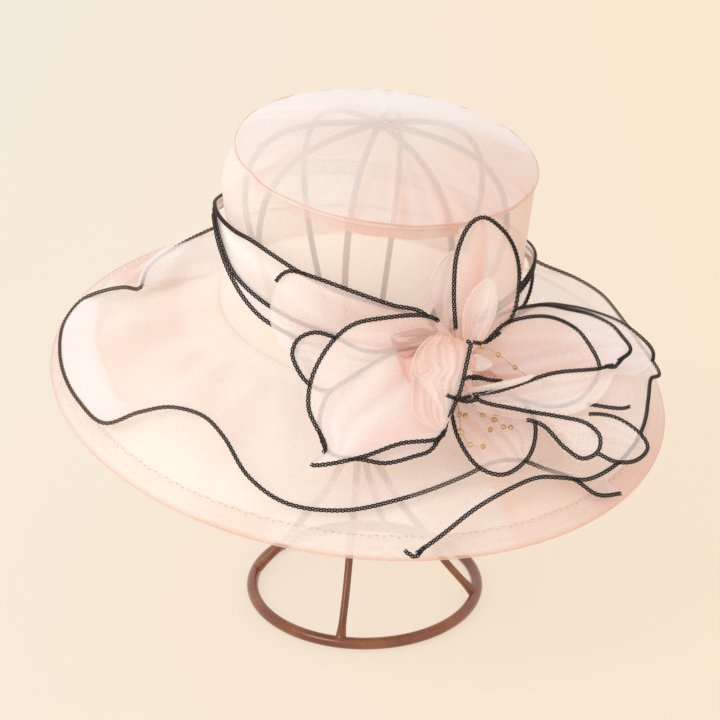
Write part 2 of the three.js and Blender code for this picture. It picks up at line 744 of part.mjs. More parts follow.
function stand() {
  const ringHeight = (RING_WIRE / 2) * Math.cos(Math.PI / 8);
  const section = Array.from({ length: 8 }, (_, i) => {
    const angle = (Math.PI / 4) * (i + 0.5);
    return [RING_RADIUS + (RING_WIRE / 2) * Math.cos(angle), ringHeight + (RING_WIRE / 2) * Math.sin(angle)];
  });
  const ring = ringOf(section, 32).translate(RING_OFFSET, 0, 0);
  const curveOf = (points) => new THREE.CatmullRomCurve3(points, false, 'centripetal');
  const ribs = Array.from({ length: RIBS }, (_, i) => {
    const turn = FIRST_RIB + (360 / RIBS) * i;
    const points = RIB_ROWS.map(([radius, height]) => (
      onBalloon(polar(turn, radius * BALLOON_RADIUS, height * BALLOON_HEIGHT))
    ));
    return rod(curveOf(points), RIB_WIRE, RIB_STEPS, WIRE_SIDES);
  });
  const legs = Array.from({ length: LEGS }, (_, i) => {
    const turn = FIRST_RIB + (360 / LEGS) * i;
    const points = LEG_ROWS.map(([radius, height]) => {
      const point = polar(turn, radius * RING_RADIUS, height * NECK_HEIGHT);
      point.x += RING_OFFSET * (1 - height);
      return point;
    });
    return rod(curveOf(points), LEG_WIRE, LEG_STEPS, WIRE_SIDES);
  });
  const collar = new THREE.CylinderGeometry(NECK_RADIUS, NECK_RADIUS, NECK_LENGTH, 10);
  collar.rotateX(Math.PI / 2).translate(0, 0, NECK_HEIGHT);
  const cap = new THREE.SphereGeometry(CAP_RADIUS, 8, 5).rotateX(Math.PI / 2).scale(1, 1, 0.7);
  const capPlace = onBalloon(new THREE.Vector3(0, 0, BALLOON_HEIGHT - RIB_WIRE / 2));
  cap.translate(capPlace.x, capPlace.y, capPlace.z);
  return joined([ring, ...ribs, ...legs, collar, cap]);
}

// The middle of the crown's tip rests on the balloon's rounded top, square to the hat's own axis
function hatPlace() {
  const lean = new THREE.Euler(rad(LEAN_FORWARD), rad(LEAN_RIGHT), 0);
  const axis = new THREE.Vector3(0, 0, 1).applyEuler(lean);
  const centre = onBalloon(new THREE.Vector3(0, 0, BALLOON_HEIGHT - BALLOON_CROWN));
  const underside = CROWN_HEIGHT + GAP + TIP_RISE;
  const reach = BALLOON_CROWN + RIB_WIRE / 2 + 2 * GAP - underside;
  return { lean, position: centre.addScaledVector(axis, reach) };
}

function hat() {
  const group = new THREE.Group();
  const knotRoom = knot(GAP);
  const { lean, position } = hatPlace();
  group.position.copy(position);
  group.rotation.copy(lean);
  group.add(
    piece('crown_tip', crownTip(), cloth(COLOURS.organza)),
    piece('crown_side', crownSide(), cloth(COLOURS.organza)),
    piece('tip_piping', tipPiping(), cloth(COLOURS.rose)),
    piece('brim', brimSheet(), cloth(COLOURS.organza)),
    piece('brim_binding', brimBinding(), cloth(COLOURS.rose)),
    piece('ruffle', ruffle(), cloth(COLOURS.organza)),
    piece('ruffle_cord', ruffleCord(), gloss(COLOURS.cord)),
    piece('sash', cut(sash(), knotRoom), cloth(COLOURS.rose)),
    ...Object.keys(SASH_EDGES).map((edge) => (
      piece(`sash_cord_${edge}`, cut(sashCord(edge), knotRoom), gloss(COLOURS.cord))
    )),
    ...flower(knotRoom),
  );
  return group;
}

// The whole, with the middle of its box over the origin and the ring on the ground
const model = new THREE.Group();
model.add(piece('stand', stand(), metal(COLOURS.bronze)), hat());
model.updateMatrixWorld(true);
const box = new THREE.Box3().setFromObject(model, true);
const middle = box.getCenter(new THREE.Vector3());
model.position.set(-middle.x, -middle.y, -box.min.z);
export default model;
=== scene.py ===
# Mesh sun hat with a corded cloth flower, on its wire stand: the looks. Shapes are worked out in
# millimetres in the hat's own frame, then placed in metres.
import math

import bpy
import numpy as np
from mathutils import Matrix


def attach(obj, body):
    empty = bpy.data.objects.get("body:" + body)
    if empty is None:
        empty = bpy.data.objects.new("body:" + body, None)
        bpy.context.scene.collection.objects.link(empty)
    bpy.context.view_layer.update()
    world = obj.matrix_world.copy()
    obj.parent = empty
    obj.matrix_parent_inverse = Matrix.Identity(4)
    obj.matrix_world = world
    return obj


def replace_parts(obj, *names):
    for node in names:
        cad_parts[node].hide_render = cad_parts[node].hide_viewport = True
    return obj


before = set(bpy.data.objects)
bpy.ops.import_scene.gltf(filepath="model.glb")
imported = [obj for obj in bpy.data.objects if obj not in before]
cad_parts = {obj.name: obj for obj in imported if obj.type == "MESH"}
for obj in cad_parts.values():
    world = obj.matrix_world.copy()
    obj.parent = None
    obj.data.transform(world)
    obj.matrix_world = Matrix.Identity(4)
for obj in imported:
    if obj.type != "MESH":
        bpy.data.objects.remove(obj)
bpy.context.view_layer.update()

# Named sizes, in millimetres and degrees
CLOTH = 1.2
GAP = 0.35
HALF_CLOTH = CLOTH / 2
SEAT = 2.7
CROWN_RADIUS = 91.0
TIP_RADIUS = 88.0
CROWN_HEIGHT = 102.0
TIP_RISE = 19.0
SEAM_DEPTH = 8.5
PIPING = 2.0
BRIM_RADIUS = 190.0
BRIM_DROP = 48.0
DROOP_POWER = 1.25
BINDING_WIDTH = 12.0
FACING_RADIUS = 151.0
STITCH_STEP = 1.3
LEAN_FORWARD = 6.5
LEAN_RIGHT = 6.0
RING_RADIUS = 73.0
RING_OFFSET = 3.0
RING_WIRE = 7.4
RIB_WIRE = 3.8
RIB_SEAT = 2.0
LEG_WIRE = 4.8
NECK_HEIGHT = 105.0
NECK_RADIUS = 7.0
NECK_LENGTH = 11.0
COLLAR_EDGE = 0.8
BALLOON_HEIGHT = 217.0
BALLOON_RADIUS = 79.0
BALLOON_CROWN = 120.0
CAP_RADIUS = 5.6
RIBS = 8
LEGS = 4
FIRST_RIB = -12.0
DRAPE_ROUND = 24.0
FLOWER_LIFT = 50.0
KNOT_TURN = 24.0
KNOT_ALONG = -0.12
KNOT_FOOT = 0.25
KNOT_LIFT = 0.46
KNOT_RADIUS = 12.0
RUFFLE_LIFT = 16.0
RUFFLE_GAP = 8.0
RUFFLE_FOLLOW = 0.7
SASH_LIFT = 5.0
HEM_RADIUS = 0.34
THREAD_RADIUS = 0.22
PEARL_RADIUS = 1.55
UNROLL_RADIUS = 120.0
BRIM_WIDTH = BRIM_RADIUS - CROWN_RADIUS
CAMERA_PLACE = (0, -1120, 688)
CAMERA_DOWN = 25.1


# Frames: the stand's place on the ground, and the hat's place and lean on the stand
def turned(lean_forward, lean_right):
    a, b = math.radians(lean_forward), math.radians(lean_right)
    about_x = np.array([[1, 0, 0], [0, math.cos(a), -math.sin(a)], [0, math.sin(a), math.cos(a)]])
    about_y = np.array([[math.cos(b), 0, math.sin(b)], [0, 1, 0], [-math.sin(b), 0, math.cos(b)]])
    return about_x @ about_y


def ring_centre():
    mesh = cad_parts["stand"].data
    points = np.array([v.co[:] for v in mesh.vertices]) * 1000
    low = points[points[:, 2] < 0.5]
    middle = (low.min(axis=0) + low.max(axis=0)) / 2
    return np.array([middle[0] - RING_OFFSET, middle[1], 0.0])


OFFSET = ring_centre()
HAT_LEAN = turned(LEAN_FORWARD, LEAN_RIGHT)
BALLOON_LEAN = turned(LEAN_FORWARD / 2, LEAN_RIGHT / 2)


def on_balloon(points):
    return np.asarray(points) @ BALLOON_LEAN.T + np.array([0, 0, NECK_HEIGHT])


def hat_seat():
    axis = HAT_LEAN @ np.array([0, 0, 1.0])
    centre = on_balloon([0, 0, BALLOON_HEIGHT - BALLOON_CROWN])
    reach = BALLOON_CROWN + RIB_SEAT + 2 * GAP - (CROWN_HEIGHT + GAP + TIP_RISE)
    return centre + axis * reach


HAT_SEAT = hat_seat()


def on_hat(points):
    return np.asarray(points) @ HAT_LEAN.T + HAT_SEAT


def to_world(points):
    return (np.asarray(points) + OFFSET) / 1000


# Shapes of the hat
def brim_height(radius):
    share = np.maximum(0, (np.asarray(radius, float) - CROWN_RADIUS) / BRIM_WIDTH)
    return -BRIM_DROP * share ** DROOP_POWER


def crown_radius(height):
    share = np.clip(np.asarray(height, float) / CROWN_HEIGHT, 0, 1)
    return CROWN_RADIUS + (TIP_RADIUS - CROWN_RADIUS) * share


def polar(turn, radius, height):
    turn, radius, height = np.broadcast_arrays(np.radians(turn), radius, height)
    return np.stack([radius * np.sin(turn), -radius * np.cos(turn), height], axis=-1).astype(float)


def drape(turn, along, lift):
    run = np.asarray(along, float) * BRIM_WIDTH
    bend = np.hypot(run, DRAPE_ROUND)
    radius = CROWN_RADIUS + lift + (run + bend) / 2
    return polar(turn, radius, brim_height(radius) + lift + (bend - run) / 2)


# A smooth line through rows, read at shares from 0 to 1
def smooth_line(rows, shares):
    rows = np.asarray(rows, float)
    shares = np.clip(np.asarray(shares, float), 0, 1)
    last = len(rows) - 1
    place = shares * last
    low = np.minimum(np.floor(place).astype(int), last - 1)
    t = (place - low)[..., None]
    padded = np.vstack([2 * rows[0] - rows[1], rows, 2 * rows[-1] - rows[-2]])
    p0, p1, p2, p3 = (padded[low + k] for k in range(4))

    def knot_step(a, b):
        return np.maximum(np.linalg.norm(b - a, axis=-1, keepdims=True) ** 0.5, 1e-4)

    d0, d1, d2 = knot_step(p0, p1), knot_step(p1, p2), knot_step(p2, p3)
    m1 = ((p1 - p0) / d0 - (p2 - p0) / (d0 + d1) + (p2 - p1) / d1) * d1
    m2 = ((p2 - p1) / d1 - (p3 - p1) / (d1 + d2) + (p3 - p2) / d2) * d1
    return (
        p1 + m1 * t + (-3 * p1 + 3 * p2 - 2 * m1 - m2) * t**2 + (2 * p1 - 2 * p2 + m1 + m2) * t**3
    )


# Soft random waves: a sum of cosines that closes on itself over one turn when asked
def waves(x, count, low, high, seed, closed=False):
    own = np.random.default_rng(seed)
    total = np.zeros_like(np.asarray(x, float))
    for _ in range(count):
        pace = own.uniform(low, high)
        if closed:
            pace = round(pace)
        total += own.uniform(0.5, 1) * np.cos(pace * x + own.uniform(0, 2 * math.pi))
    return total / (0.75 * math.sqrt(count))


def fade(x, low, high):
    t = np.clip((np.asarray(x, float) - low) / (high - low), 0, 1)
    return t * t * (3 - 2 * t)


def bell(x, centre, width):
    return np.exp(-(((x - centre) / width) ** 2))


def full_turn(count):
    return np.linspace(0, 360, count + 1)[:-1]


def around(turns):
    return (turns + 180) % 360 - 180


# Mesh making
def link(mesh, name, material):
    made = bpy.data.objects.new(name, mesh)
    bpy.context.scene.collection.objects.link(made)
    mesh.materials.append(material)
    for face in mesh.polygons:
        face.use_smooth = True
    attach(made, "root")
    return made


def mesh_of(name, points, faces, material, uv, shades):
    mesh = bpy.data.meshes.new(name)
    mesh.from_pydata(points.tolist(), [], faces.tolist())
    layer = mesh.uv_layers.new(name="cloth")
    corner = np.empty(len(mesh.loops), dtype=np.int32)
    mesh.loops.foreach_get("vertex_index", corner)
    layer.data.foreach_set("uv", uv[corner].astype(np.float32).ravel())
    for key, values in shades.items():
        layer = mesh.attributes.new(key, "FLOAT", "POINT")
        layer.data.foreach_set("value", np.asarray(values, np.float32).ravel())
    mesh.update()
    return link(mesh, name, material)


# Faces of a grid of down + 1 rows and across + 1 columns, the last column joined to the first if closed
def grid_faces(down, across, closed):
    columns = across if closed else across + 1
    j, i = np.meshgrid(np.arange(down), np.arange(across), indexing="ij")
    nxt = (i + 1) % columns
    a, b = j * columns + i, j * columns + nxt
    return np.stack([a, b, b + columns, a + columns], axis=-1).reshape(-1, 4)


# A sheet of one of the cloths below, from a grid of places on the hat. Its weave runs along the grid
def cloth_sheet(name, grid, cloth, slot, closed=False, gather=0.0, veil=0.0, held="", rests_on=()):
    down, across = grid.shape[0] - 1, grid.shape[1] - (0 if closed else 1)
    step_u = np.linalg.norm(np.diff(grid, axis=1), axis=-1).mean(axis=0)
    step_v = np.linalg.norm(np.diff(grid, axis=0), axis=-1).mean(axis=1)
    u = np.concatenate([[0], np.cumsum(step_u)]) / 1000
    v = np.concatenate([[0], np.cumsum(step_v)]) / 1000
    uv = np.stack(np.broadcast_arrays(u, v[:, None]), axis=-1).reshape(-1, 2)
    size = grid.shape[:2]
    shades = {"gather": np.broadcast_to(gather, size), "veil": np.broadcast_to(veil, size)}
    points = to_world(on_hat(grid.reshape(-1, 3)))
    made = mesh_of(name, points, grid_faces(down, across, closed), CLOTHS[cloth], uv, shades)
    return made


# Frames along a line that turn as little as they can
def carried_frames(line):
    ahead = np.gradient(line, axis=0)
    ahead /= np.linalg.norm(ahead, axis=1, keepdims=True)
    side = np.cross(ahead[0], [0, 0, 1.0])
    if np.linalg.norm(side) < 1e-3:
        side = np.cross(ahead[0], [0, 1.0, 0])
    side /= np.linalg.norm(side)
    sides = [side]
    for t in ahead[1:]:
        side = side - t * np.dot(side, t)
        side /= np.linalg.norm(side)
        sides.append(side)
    sides = np.array(sides)
    return sides, np.cross(ahead, sides)


def even_line(line, step):
    length = np.concatenate([[0], np.cumsum(np.linalg.norm(np.diff(line[:, :3], axis=0), axis=1))])
    count = max(3, int(math.ceil(length[-1] / step)) + 1)
    at = np.linspace(0, length[-1], count)
    return np.stack([np.interp(at, length, column) for column in line.T], axis=1), at


# A round rod along a line, joined into a ring or closed at both ends
def rod_parts(line, radius, sides, ring=False):
    one, two = carried_frames(line)
    radius = np.broadcast_to(radius, len(line))[:, None, None]
    angle = (np.arange(sides) * 2 * math.pi / sides)[None, :, None]
    rounds = np.cos(angle) * one[:, None, :] + np.sin(angle) * two[:, None, :]
    points = (line[:, None, :] + radius * rounds).reshape(-1, 3)
    faces = grid_faces(len(line) - 1, sides, True).tolist()
    last = len(points) - sides
    if ring:
        faces += [[last + i, last + (i + 1) % sides, (i + 1) % sides, i] for i in range(sides)]
        return points, faces
    for i in range(sides):
        after = (i + 1) % sides
        faces += [[after, i, len(points)], [last + i, last + after, len(points) + 1]]
    return np.vstack([points, line[0], line[-1]]), faces


# Rods and balls joined into one mesh
def joined_parts(name, parts, material, frame_of=on_hat):
    points, faces, start = [], [], 0
    for made, own in parts:
        points.append(made)
        faces += [[k + start for k in face] for face in own]
        start += len(made)
    mesh = bpy.data.meshes.new(name)
    mesh.from_pydata(to_world(frame_of(np.vstack(points))).tolist(), [], faces)
    mesh.update()
    return link(mesh, name, material)


# A flat braid of three strands along a line
BRAID_WIDTH = 0.88
BRAID_HEIGHT = 0.32
STRAND = 0.45
BRAID_REPEAT = 9.0
BRAID_STEPS = 16


# Cords lie with the flat of their braid towards the front
FRONT = np.array([0, -0.9, 0.42]) @ HAT_LEAN


def braid_parts(line, outward):
    outward = FRONT + 0.35 * outward / np.linalg.norm(outward, axis=-1, keepdims=True)
    both, at = even_line(np.hstack([line, np.broadcast_to(outward, line.shape)]), BRAID_REPEAT / BRAID_STEPS)
    line, over = both[:, :3], both[:, 3:]
    ahead = np.gradient(line, axis=0)
    side = np.cross(ahead, over)
    side /= np.linalg.norm(side, axis=1, keepdims=True)
    over = np.cross(side, ahead)
    over /= np.linalg.norm(over, axis=1, keepdims=True)
    parts = []
    for k in range(3):
        turn = 2 * math.pi * (at / BRAID_REPEAT + k / 3)
        strand = (
            line
            + side * (BRAID_WIDTH * np.sin(turn))[:, None]
            + over * (BRAID_HEIGHT * np.sin(2 * turn))[:, None]
        )
        ends = np.minimum(1, np.minimum(at, at[-1] - at) / 1.2 + 0.45)
        parts.append(rod_parts(strand, STRAND * ends, 5))
    return parts


# Materials
def new_material(name):
    material = bpy.data.materials.new(name)
    material.use_nodes = True
    nodes = material.node_tree.nodes
    nodes.clear()
    output = nodes.new("ShaderNodeOutputMaterial")
    shader = nodes.new("ShaderNodeBsdfPrincipled")
    material.node_tree.links.new(shader.outputs["BSDF"], output.inputs["Surface"])
    return material, shader


class Graph:
    def __init__(self, material):
        self.tree = material.node_tree

    def node(self, kind, **settings):
        made = self.tree.nodes.new(kind)
        for key, value in settings.items():
            setattr(made, key, value)
        return made

    def put(self, socket, value):
        if isinstance(value, bpy.types.NodeSocket):
            self.tree.links.new(value, socket)
        else:
            socket.default_value = value

    def place(self):
        return self.node("ShaderNodeTexCoord").outputs["Object"]

    def axis(self, vector, name):
        made = self.node("ShaderNodeSeparateXYZ")
        self.put(made.inputs[0], vector)
        return made.outputs[name]

    def attribute(self, name):
        return self.node("ShaderNodeAttribute", attribute_name=name).outputs["Fac"]

    def math(self, kind, one, two=0.0, three=0.0):
        made = self.node("ShaderNodeMath", operation=kind)
        for socket, value in zip(made.inputs, (one, two, three)):
            self.put(socket, value)
        return made.outputs[0]

    def mix(self, share, one, two):
        made = self.node("ShaderNodeMix", data_type="RGBA")
        self.put(made.inputs["Factor"], share)
        self.put(made.inputs[6], one)
        self.put(made.inputs[7], two)
        return made.outputs[2]

    def noise(self, vector, scale, detail=3.0, rough=0.5):
        made = self.node("ShaderNodeTexNoise")
        self.put(made.inputs["Vector"], vector)
        self.put(made.inputs["Scale"], scale)
        self.put(made.inputs["Detail"], detail)
        self.put(made.inputs["Roughness"], rough)
        return made.outputs["Fac"]

    def remap(self, value, low, high, new_low, new_high):
        made = self.node("ShaderNodeMapRange")
        for socket, number in zip(made.inputs[:5], (value, low, high, new_low, new_high)):
            self.put(socket, number)
        return made.outputs["Result"]

    def bump(self, height, strength, distance):
        made = self.node("ShaderNodeBump")
        self.put(made.inputs["Height"], height)
        self.put(made.inputs["Strength"], strength)
        self.put(made.inputs["Distance"], distance)
        return made.outputs["Normal"]


def colour(red, green, blue):
    def straight(value):
        value /= 255
        return value / 12.92 if value <= 0.04045 else ((value + 0.055) / 1.055) ** 2.4

    return (straight(red), straight(green), straight(blue), 1.0)


WEAVE_PITCH = 0.00085
WEAVE = 0.05
# Painted glow of the cloths, standing in for the light that comes through them
PAINTED_GLOW = 0.07
WHITE = colour(252, 247, 245)


# Sheer organza: pale where it is one layer, rosier and denser where the attribute gather says that it
# is gathered or lies double, and whiter where the attribute veil says so. In some places gather carries
# painted shade and veil carries painted light. Every cloth also gives off a faint glow in its own colour:
# painted light standing in for the light that comes through the thin cloth
def organza(name, pale, deep, sheer, dense, painted_glow=PAINTED_GLOW):
    material, shader = new_material(name)
    g = Graph(material)
    place = g.place()
    cloth = g.node("ShaderNodeUVMap", uv_map="cloth").outputs["UV"]
    gather, veil = g.attribute("gather"), g.attribute("veil")
    pace = 2 * math.pi / WEAVE_PITCH
    warp = g.math("SINE", g.math("MULTIPLY", g.axis(cloth, "X"), pace))
    weft = g.math("SINE", g.math("MULTIPLY", g.axis(cloth, "Y"), pace))
    threads = g.math("MULTIPLY", g.math("MAXIMUM", warp, weft), WEAVE)
    grain = g.noise(place, 1300.0, 1.0)
    cloud = g.noise(place, 16.0, 2.0)
    fine = g.noise(place, 90.0, 4.0, 0.6)
    alpha = g.math("MULTIPLY_ADD", g.math("MAXIMUM", gather, veil), dense - sheer, sheer)
    alpha = g.math("ADD", alpha, g.math("MULTIPLY", threads, g.remap(gather, 0.0, 1.0, 1.0, 0.3)))
    alpha = g.math("ADD", alpha, g.remap(cloud, 0.3, 0.7, -0.05, 0.05))
    alpha = g.math("ADD", alpha, g.remap(grain, 0.3, 0.7, -0.06, 0.06))
    alpha = g.math("MINIMUM", g.math("MAXIMUM", alpha, 0.05), 1.0)
    tint = g.math("ADD", gather, g.remap(cloud, 0.35, 0.65, -0.12, 0.12))
    tint = g.math("MINIMUM", g.math("MAXIMUM", tint, 0.0), 1.0)
    dye_and_painted_light = g.mix(g.math("MULTIPLY", veil, 0.7), g.mix(tint, colour(*pale), colour(*deep)), WHITE)
    g.put(shader.inputs["Base Color"], dye_and_painted_light)
    # The cloth's colour is also given off as a faint glow: painted light through the cloth
    g.put(shader.inputs["Emission Color"], dye_and_painted_light)
    shader.inputs["Emission Strength"].default_value = painted_glow
    g.put(shader.inputs["Alpha"], alpha)
    g.put(shader.inputs["Roughness"], g.remap(fine, 0.3, 0.7, 0.42, 0.6))
    shader.inputs["Specular IOR Level"].default_value = 0.35
    shader.inputs["Sheen Weight"].default_value = 0.35
    shader.inputs["Sheen Roughness"].default_value = 0.4
    shader.inputs["Sheen Tint"].default_value = (1.0, 0.93, 0.9, 1.0)
    height = g.math("ADD", g.math("MULTIPLY", threads, 0.5), fine)
    g.put(shader.inputs["Normal"], g.bump(height, 0.35, 0.0006))
    return material


# Black yarn, painted lighter brown towards the back and the left: painted light where light falls on it
def braid_yarn():
    material, shader = new_material("black_braid")
    g = Graph(material)
    place = g.place()
    fibres = g.noise(place, 1400.0, 3.0, 0.7)
    # Lighter brown towards the back and the left: painted light on the yarn
    back = g.remap(g.axis(place, "Y"), -0.03, 0.05, 0.0, 0.9)
    left = g.remap(g.axis(place, "X"), -0.07, -0.13, 0.0, 0.6)
    dark = g.mix(g.remap(fibres, 0.35, 0.65, 0.0, 1.0), colour(18, 15, 15), colour(46, 39, 38))
    painted_lit_yarn = g.mix(g.math("MAXIMUM", back, left), dark, colour(118, 92, 80))
    g.put(shader.inputs["Base Color"], painted_lit_yarn)
    g.put(shader.inputs["Roughness"], g.remap(fibres, 0.3, 0.7, 0.3, 0.5))
    shader.inputs["Specular IOR Level"].default_value = 0.3
    g.put(shader.inputs["Normal"], g.bump(fibres, 0.5, 0.0002))
    return material


# Brown lacquer with a metal gleam, greyer higher up on the wire under the cloth: painted shade inside the hat
def lacquer():
    material, shader = new_material("bronze_lacquer")
    g = Graph(material)
    place = g.place()
    cloud = g.noise(place, 28.0, 3.0)
    grain = g.noise(place, 420.0, 3.0, 0.6)
    brown = g.mix(g.remap(cloud, 0.35, 0.65, 0.0, 1.0), colour(122, 70, 44), colour(156, 98, 66))
    # Greyer higher up, on the ribs under the cloth: painted shade inside the hat
    brown = g.mix(g.remap(g.axis(place, "Z"), 0.11, 0.14, 0.0, 0.8), brown, colour(84, 78, 70))
    g.put(shader.inputs["Base Color"], g.mix(g.remap(grain, 0.55, 0.75, 0.0, 0.5), brown, colour(84, 42, 32)))
    g.put(shader.inputs["Roughness"], g.remap(cloud, 0.3, 0.7, 0.2, 0.34))
    shader.inputs["Metallic"].default_value = 0.35
    shader.inputs["Coat Weight"].default_value = 0.5
    shader.inputs["Coat Roughness"].default_value = 0.15
    g.put(shader.inputs["Normal"], g.bump(grain, 0.12, 0.0004))
    return material


def pearl_shell():
    material, shader = new_material("champagne_pearl")
    g = Graph(material)
    cloud = g.noise(g.place(), 260.0, 2.0)
    shell = g.mix(g.remap(cloud, 0.35, 0.65, 0.0, 1.0), colour(236, 206, 158), colour(206, 164, 110))
    g.put(shader.inputs["Base Color"], shell)
    g.put(shader.inputs["Roughness"], g.remap(cloud, 0.3, 0.7, 0.08, 0.2))
    shader.inputs["Metallic"].default_value = 0.7
    shader.inputs["Coat Weight"].default_value = 0.6
    return material


# Cloths: pale and deep colour, how dense it is as one layer and as many, and its glow, painted light
# standing in for light through the cloth
CLOTH_ROWS = {
    "tip_organza": ((243, 229, 221), (232, 166, 136), 0.76, 0.96),
    "crown_organza": ((243, 229, 219), (242, 172, 132), 0.62, 0.96, 0.085),
    "seam_organza": ((246, 214, 198), (236, 148, 108), 0.15, 0.9),
    "piping_cloth": ((238, 196, 178), (224, 158, 132), 0.5, 0.85),
    "brim_organza": ((247, 237, 229), (243, 188, 156), 0.66, 0.94, 0.11),
    "facing_organza": ((253, 246, 240), (255, 248, 243), 0.42, 0.98),
    "binding_organza": ((247, 236, 228), (238, 186, 160), 0.28, 0.62),
    "stitch_thread": ((228, 196, 178), (218, 182, 162), 0.6, 0.8),
    "ruffle_organza": ((248, 236, 229), (236, 178, 152), 0.44, 0.93),
    "fold_organza": ((248, 236, 229), (232, 166, 140), 0.06, 0.94),
    "sash_organza": ((248, 238, 233), (236, 176, 150), 0.6, 0.94),
    "petal_organza": ((248, 235, 229), (230, 156, 122), 0.52, 0.96, 0.11),
    "shade_organza": ((216, 176, 162), (182, 140, 128), 0.45, 0.75),
    "hem_organza": ((250, 238, 232), (250, 238, 232), 0.5, 0.6),
}
CLOTHS = {name: organza(name, *row) for name, row in CLOTH_ROWS.items()}
BRAID = braid_yarn()
BRONZE = lacquer()
PEARL_SHELL = pearl_shell()


# Crown
def tip_surface(turn, share):
    edge = TIP_RADIUS - HALF_CLOTH
    dome = (edge**2 + TIP_RISE**2) / (2 * TIP_RISE)
    angle = np.radians(turn)
    rise = np.sqrt(dome**2 - (edge * share) ** 2) - dome + TIP_RISE
    gathers = waves(angle, 14, 9, 44, 3, True) * 0.55 * fade(share, 0.25, 0.95)
    broad = waves(angle, 4, 2, 6, 4, True) * 1.6 * np.sin(math.pi * np.clip(share, 0, 1)) ** 1.2
    return polar(turn, edge * share, CROWN_HEIGHT + GAP + HALF_CLOTH + rise + gathers + broad)


# The tip's turned hem: how far out of its radius, and how far below the crown's top
TIP_HEM = [(0.2, -0.4), (0.4, 0.8), (0.2, 2.4)]


def crown_tip():
    turns = full_turn(288)
    shares = np.linspace(0.004, 1, 45)[:, None]
    hem = [polar(turns, TIP_RADIUS + out, CROWN_HEIGHT - down) for out, down in TIP_HEM]
    grid = np.vstack([tip_surface(turns, shares), np.array(hem)])
    shares = np.vstack([shares, np.ones((len(TIP_HEM), 1))])
    angle = np.radians(turns)
    pleats = np.clip(waves(angle, 14, 9, 44, 3, True), 0, 2) * fade(shares, 0.45, 1.0) * 0.15
    centre = 0.16 * bell(shares, 0, 0.1)
    # Pinker on the right: painted shade on the side away from the light. Whiter on the left: painted light on
    # the lit side
    right = 0.34 * bell(around(turns - 52), 0, 60) * fade(shares, 0.2, 0.8)
    left = 0.5 * bell(around(turns + 125), 0, 75) * fade(shares, 0.2, 0.9)
    back = 0.9 * fade(-np.cos(angle) * shares, -0.12, 0.45) * (1 - 0.3 * right)
    gather, veil = pleats + centre + right, np.maximum(left, back)
    return cloth_sheet("crown_tip_cloth", grid, "tip_organza", "organza", True, gather, veil)


def crown_side():
    turns = full_turn(240)
    heights = np.linspace(GAP, CROWN_HEIGHT, 40)[:, None]
    angle = np.radians(turns)
    sway = waves(angle, 5, 3, 11, 5, True) * 0.5
    tall = waves(angle + heights / 260, 8, 12, 40, 6, True) * 0.22
    mid = np.sin(math.pi * heights / CROWN_HEIGHT)
    bulge = 7 * bell(around(turns), -92, 26) * fade(heights, 38, 78) * fade(CROWN_HEIGHT - heights, 0, 22)
    grid = polar(turns, crown_radius(heights) - HALF_CLOTH + (sway + tall) * mid + bulge, heights)
    # Pinker on the right: painted shade on the side away from the light. Whiter on the left: painted light on
    # the lit side
    right = 0.4 * bell(around(turns), 74, 30)
    left = 0.75 * bell(around(turns), -84, 30)
    foot = 0.18 * fade(12 - heights, 0, 12)
    folds = np.clip(waves(angle + heights / 200, 6, 5, 16, 8, True), 0, 2) * 0.07
    gather = right + foot + folds
    return cloth_sheet("crown_side_cloth", grid, "crown_organza", "organza", True, gather, left)


# The seam allowance that shows through the crown's side below the tip, denser towards the flower
def seam_band():
    turns = np.linspace(-150, 27.5, 240)
    depth = np.linspace(0, 1, 7)[:, None]
    angle = np.radians(turns)
    heights = CROWN_HEIGHT - 1 - depth * (SEAM_DEPTH + waves(angle, 6, 8, 30, 11) * 0.5)
    grid = polar(turns, crown_radius(heights) - 2.4 + waves(angle, 5, 14, 40, 12) * 0.25, heights)
    dense = 0.1 + 0.5 * fade(turns, -62, -24) + 0.5 * fade(turns, -24, -12)
    dense = dense - 0.45 * bell(turns, 16, 3) + 0.15 * fade(turns, 26, 27.3)
    dense = dense + 0.08 * np.clip(waves(angle, 8, 20, 70, 13), -1, 1)
    return cloth_sheet("crown_seam_band", grid, "seam_organza", "organza", False, dense)


def piping():
    turns = full_turn(240)
    angle = np.radians(turns)
    out = TIP_RADIUS + GAP + 0.3 + waves(angle, 5, 6, 20, 14, True) * 0.2
    line = polar(turns, out, CROWN_HEIGHT + waves(angle, 6, 5, 18, 15, True) * 0.35)
    radius = PIPING * (0.16 + 0.04 * waves(angle, 5, 4, 16, 16, True))
    roll = rod_parts(line, radius, 8, True)
    return joined_parts("tip_piping_roll", [roll], CLOTHS["piping_cloth"])


# Brim
def brim_surface(turn, radius):
    angle = np.radians(turn)
    share = (np.asarray(radius) - CROWN_RADIUS) / BRIM_WIDTH
    soft = waves(angle, 6, 3, 12, 21, True) * 0.9 * np.sin(math.pi * np.clip(share, 0, 1))
    pleats = waves(angle, 12, 24, 90, 22, True) * 0.22 * np.exp(-share / 0.25)
    return polar(turn, radius, brim_height(radius) - HALF_CLOTH + soft + pleats)


def brim():
    turns = full_turn(360)
    radii = np.linspace(CROWN_RADIUS - 1, BRIM_RADIUS - 1.4, 48)[:, None]
    angle = np.radians(turns)
    foot = 0.1 * np.exp(-(radii - CROWN_RADIUS) / 7)
    streaks = np.clip(waves(angle, 9, 6, 34, 23, True), 0, 2) * 0.06
    streaks = streaks + np.clip(waves(angle, 5, 2, 9, 25, True), 0, 2) * 0.07
    right = 0.42 * bell(around(turns), 58, 32) * fade(radii, 115, 165)
    seam = 0.16 * bell(around(turns), 28.8, 1.4) * fade(radii, 150, 160)
    gather = foot + streaks + right + seam
    return cloth_sheet("brim_cloth", brim_surface(turns, radii), "brim_organza", "organza", True, gather)


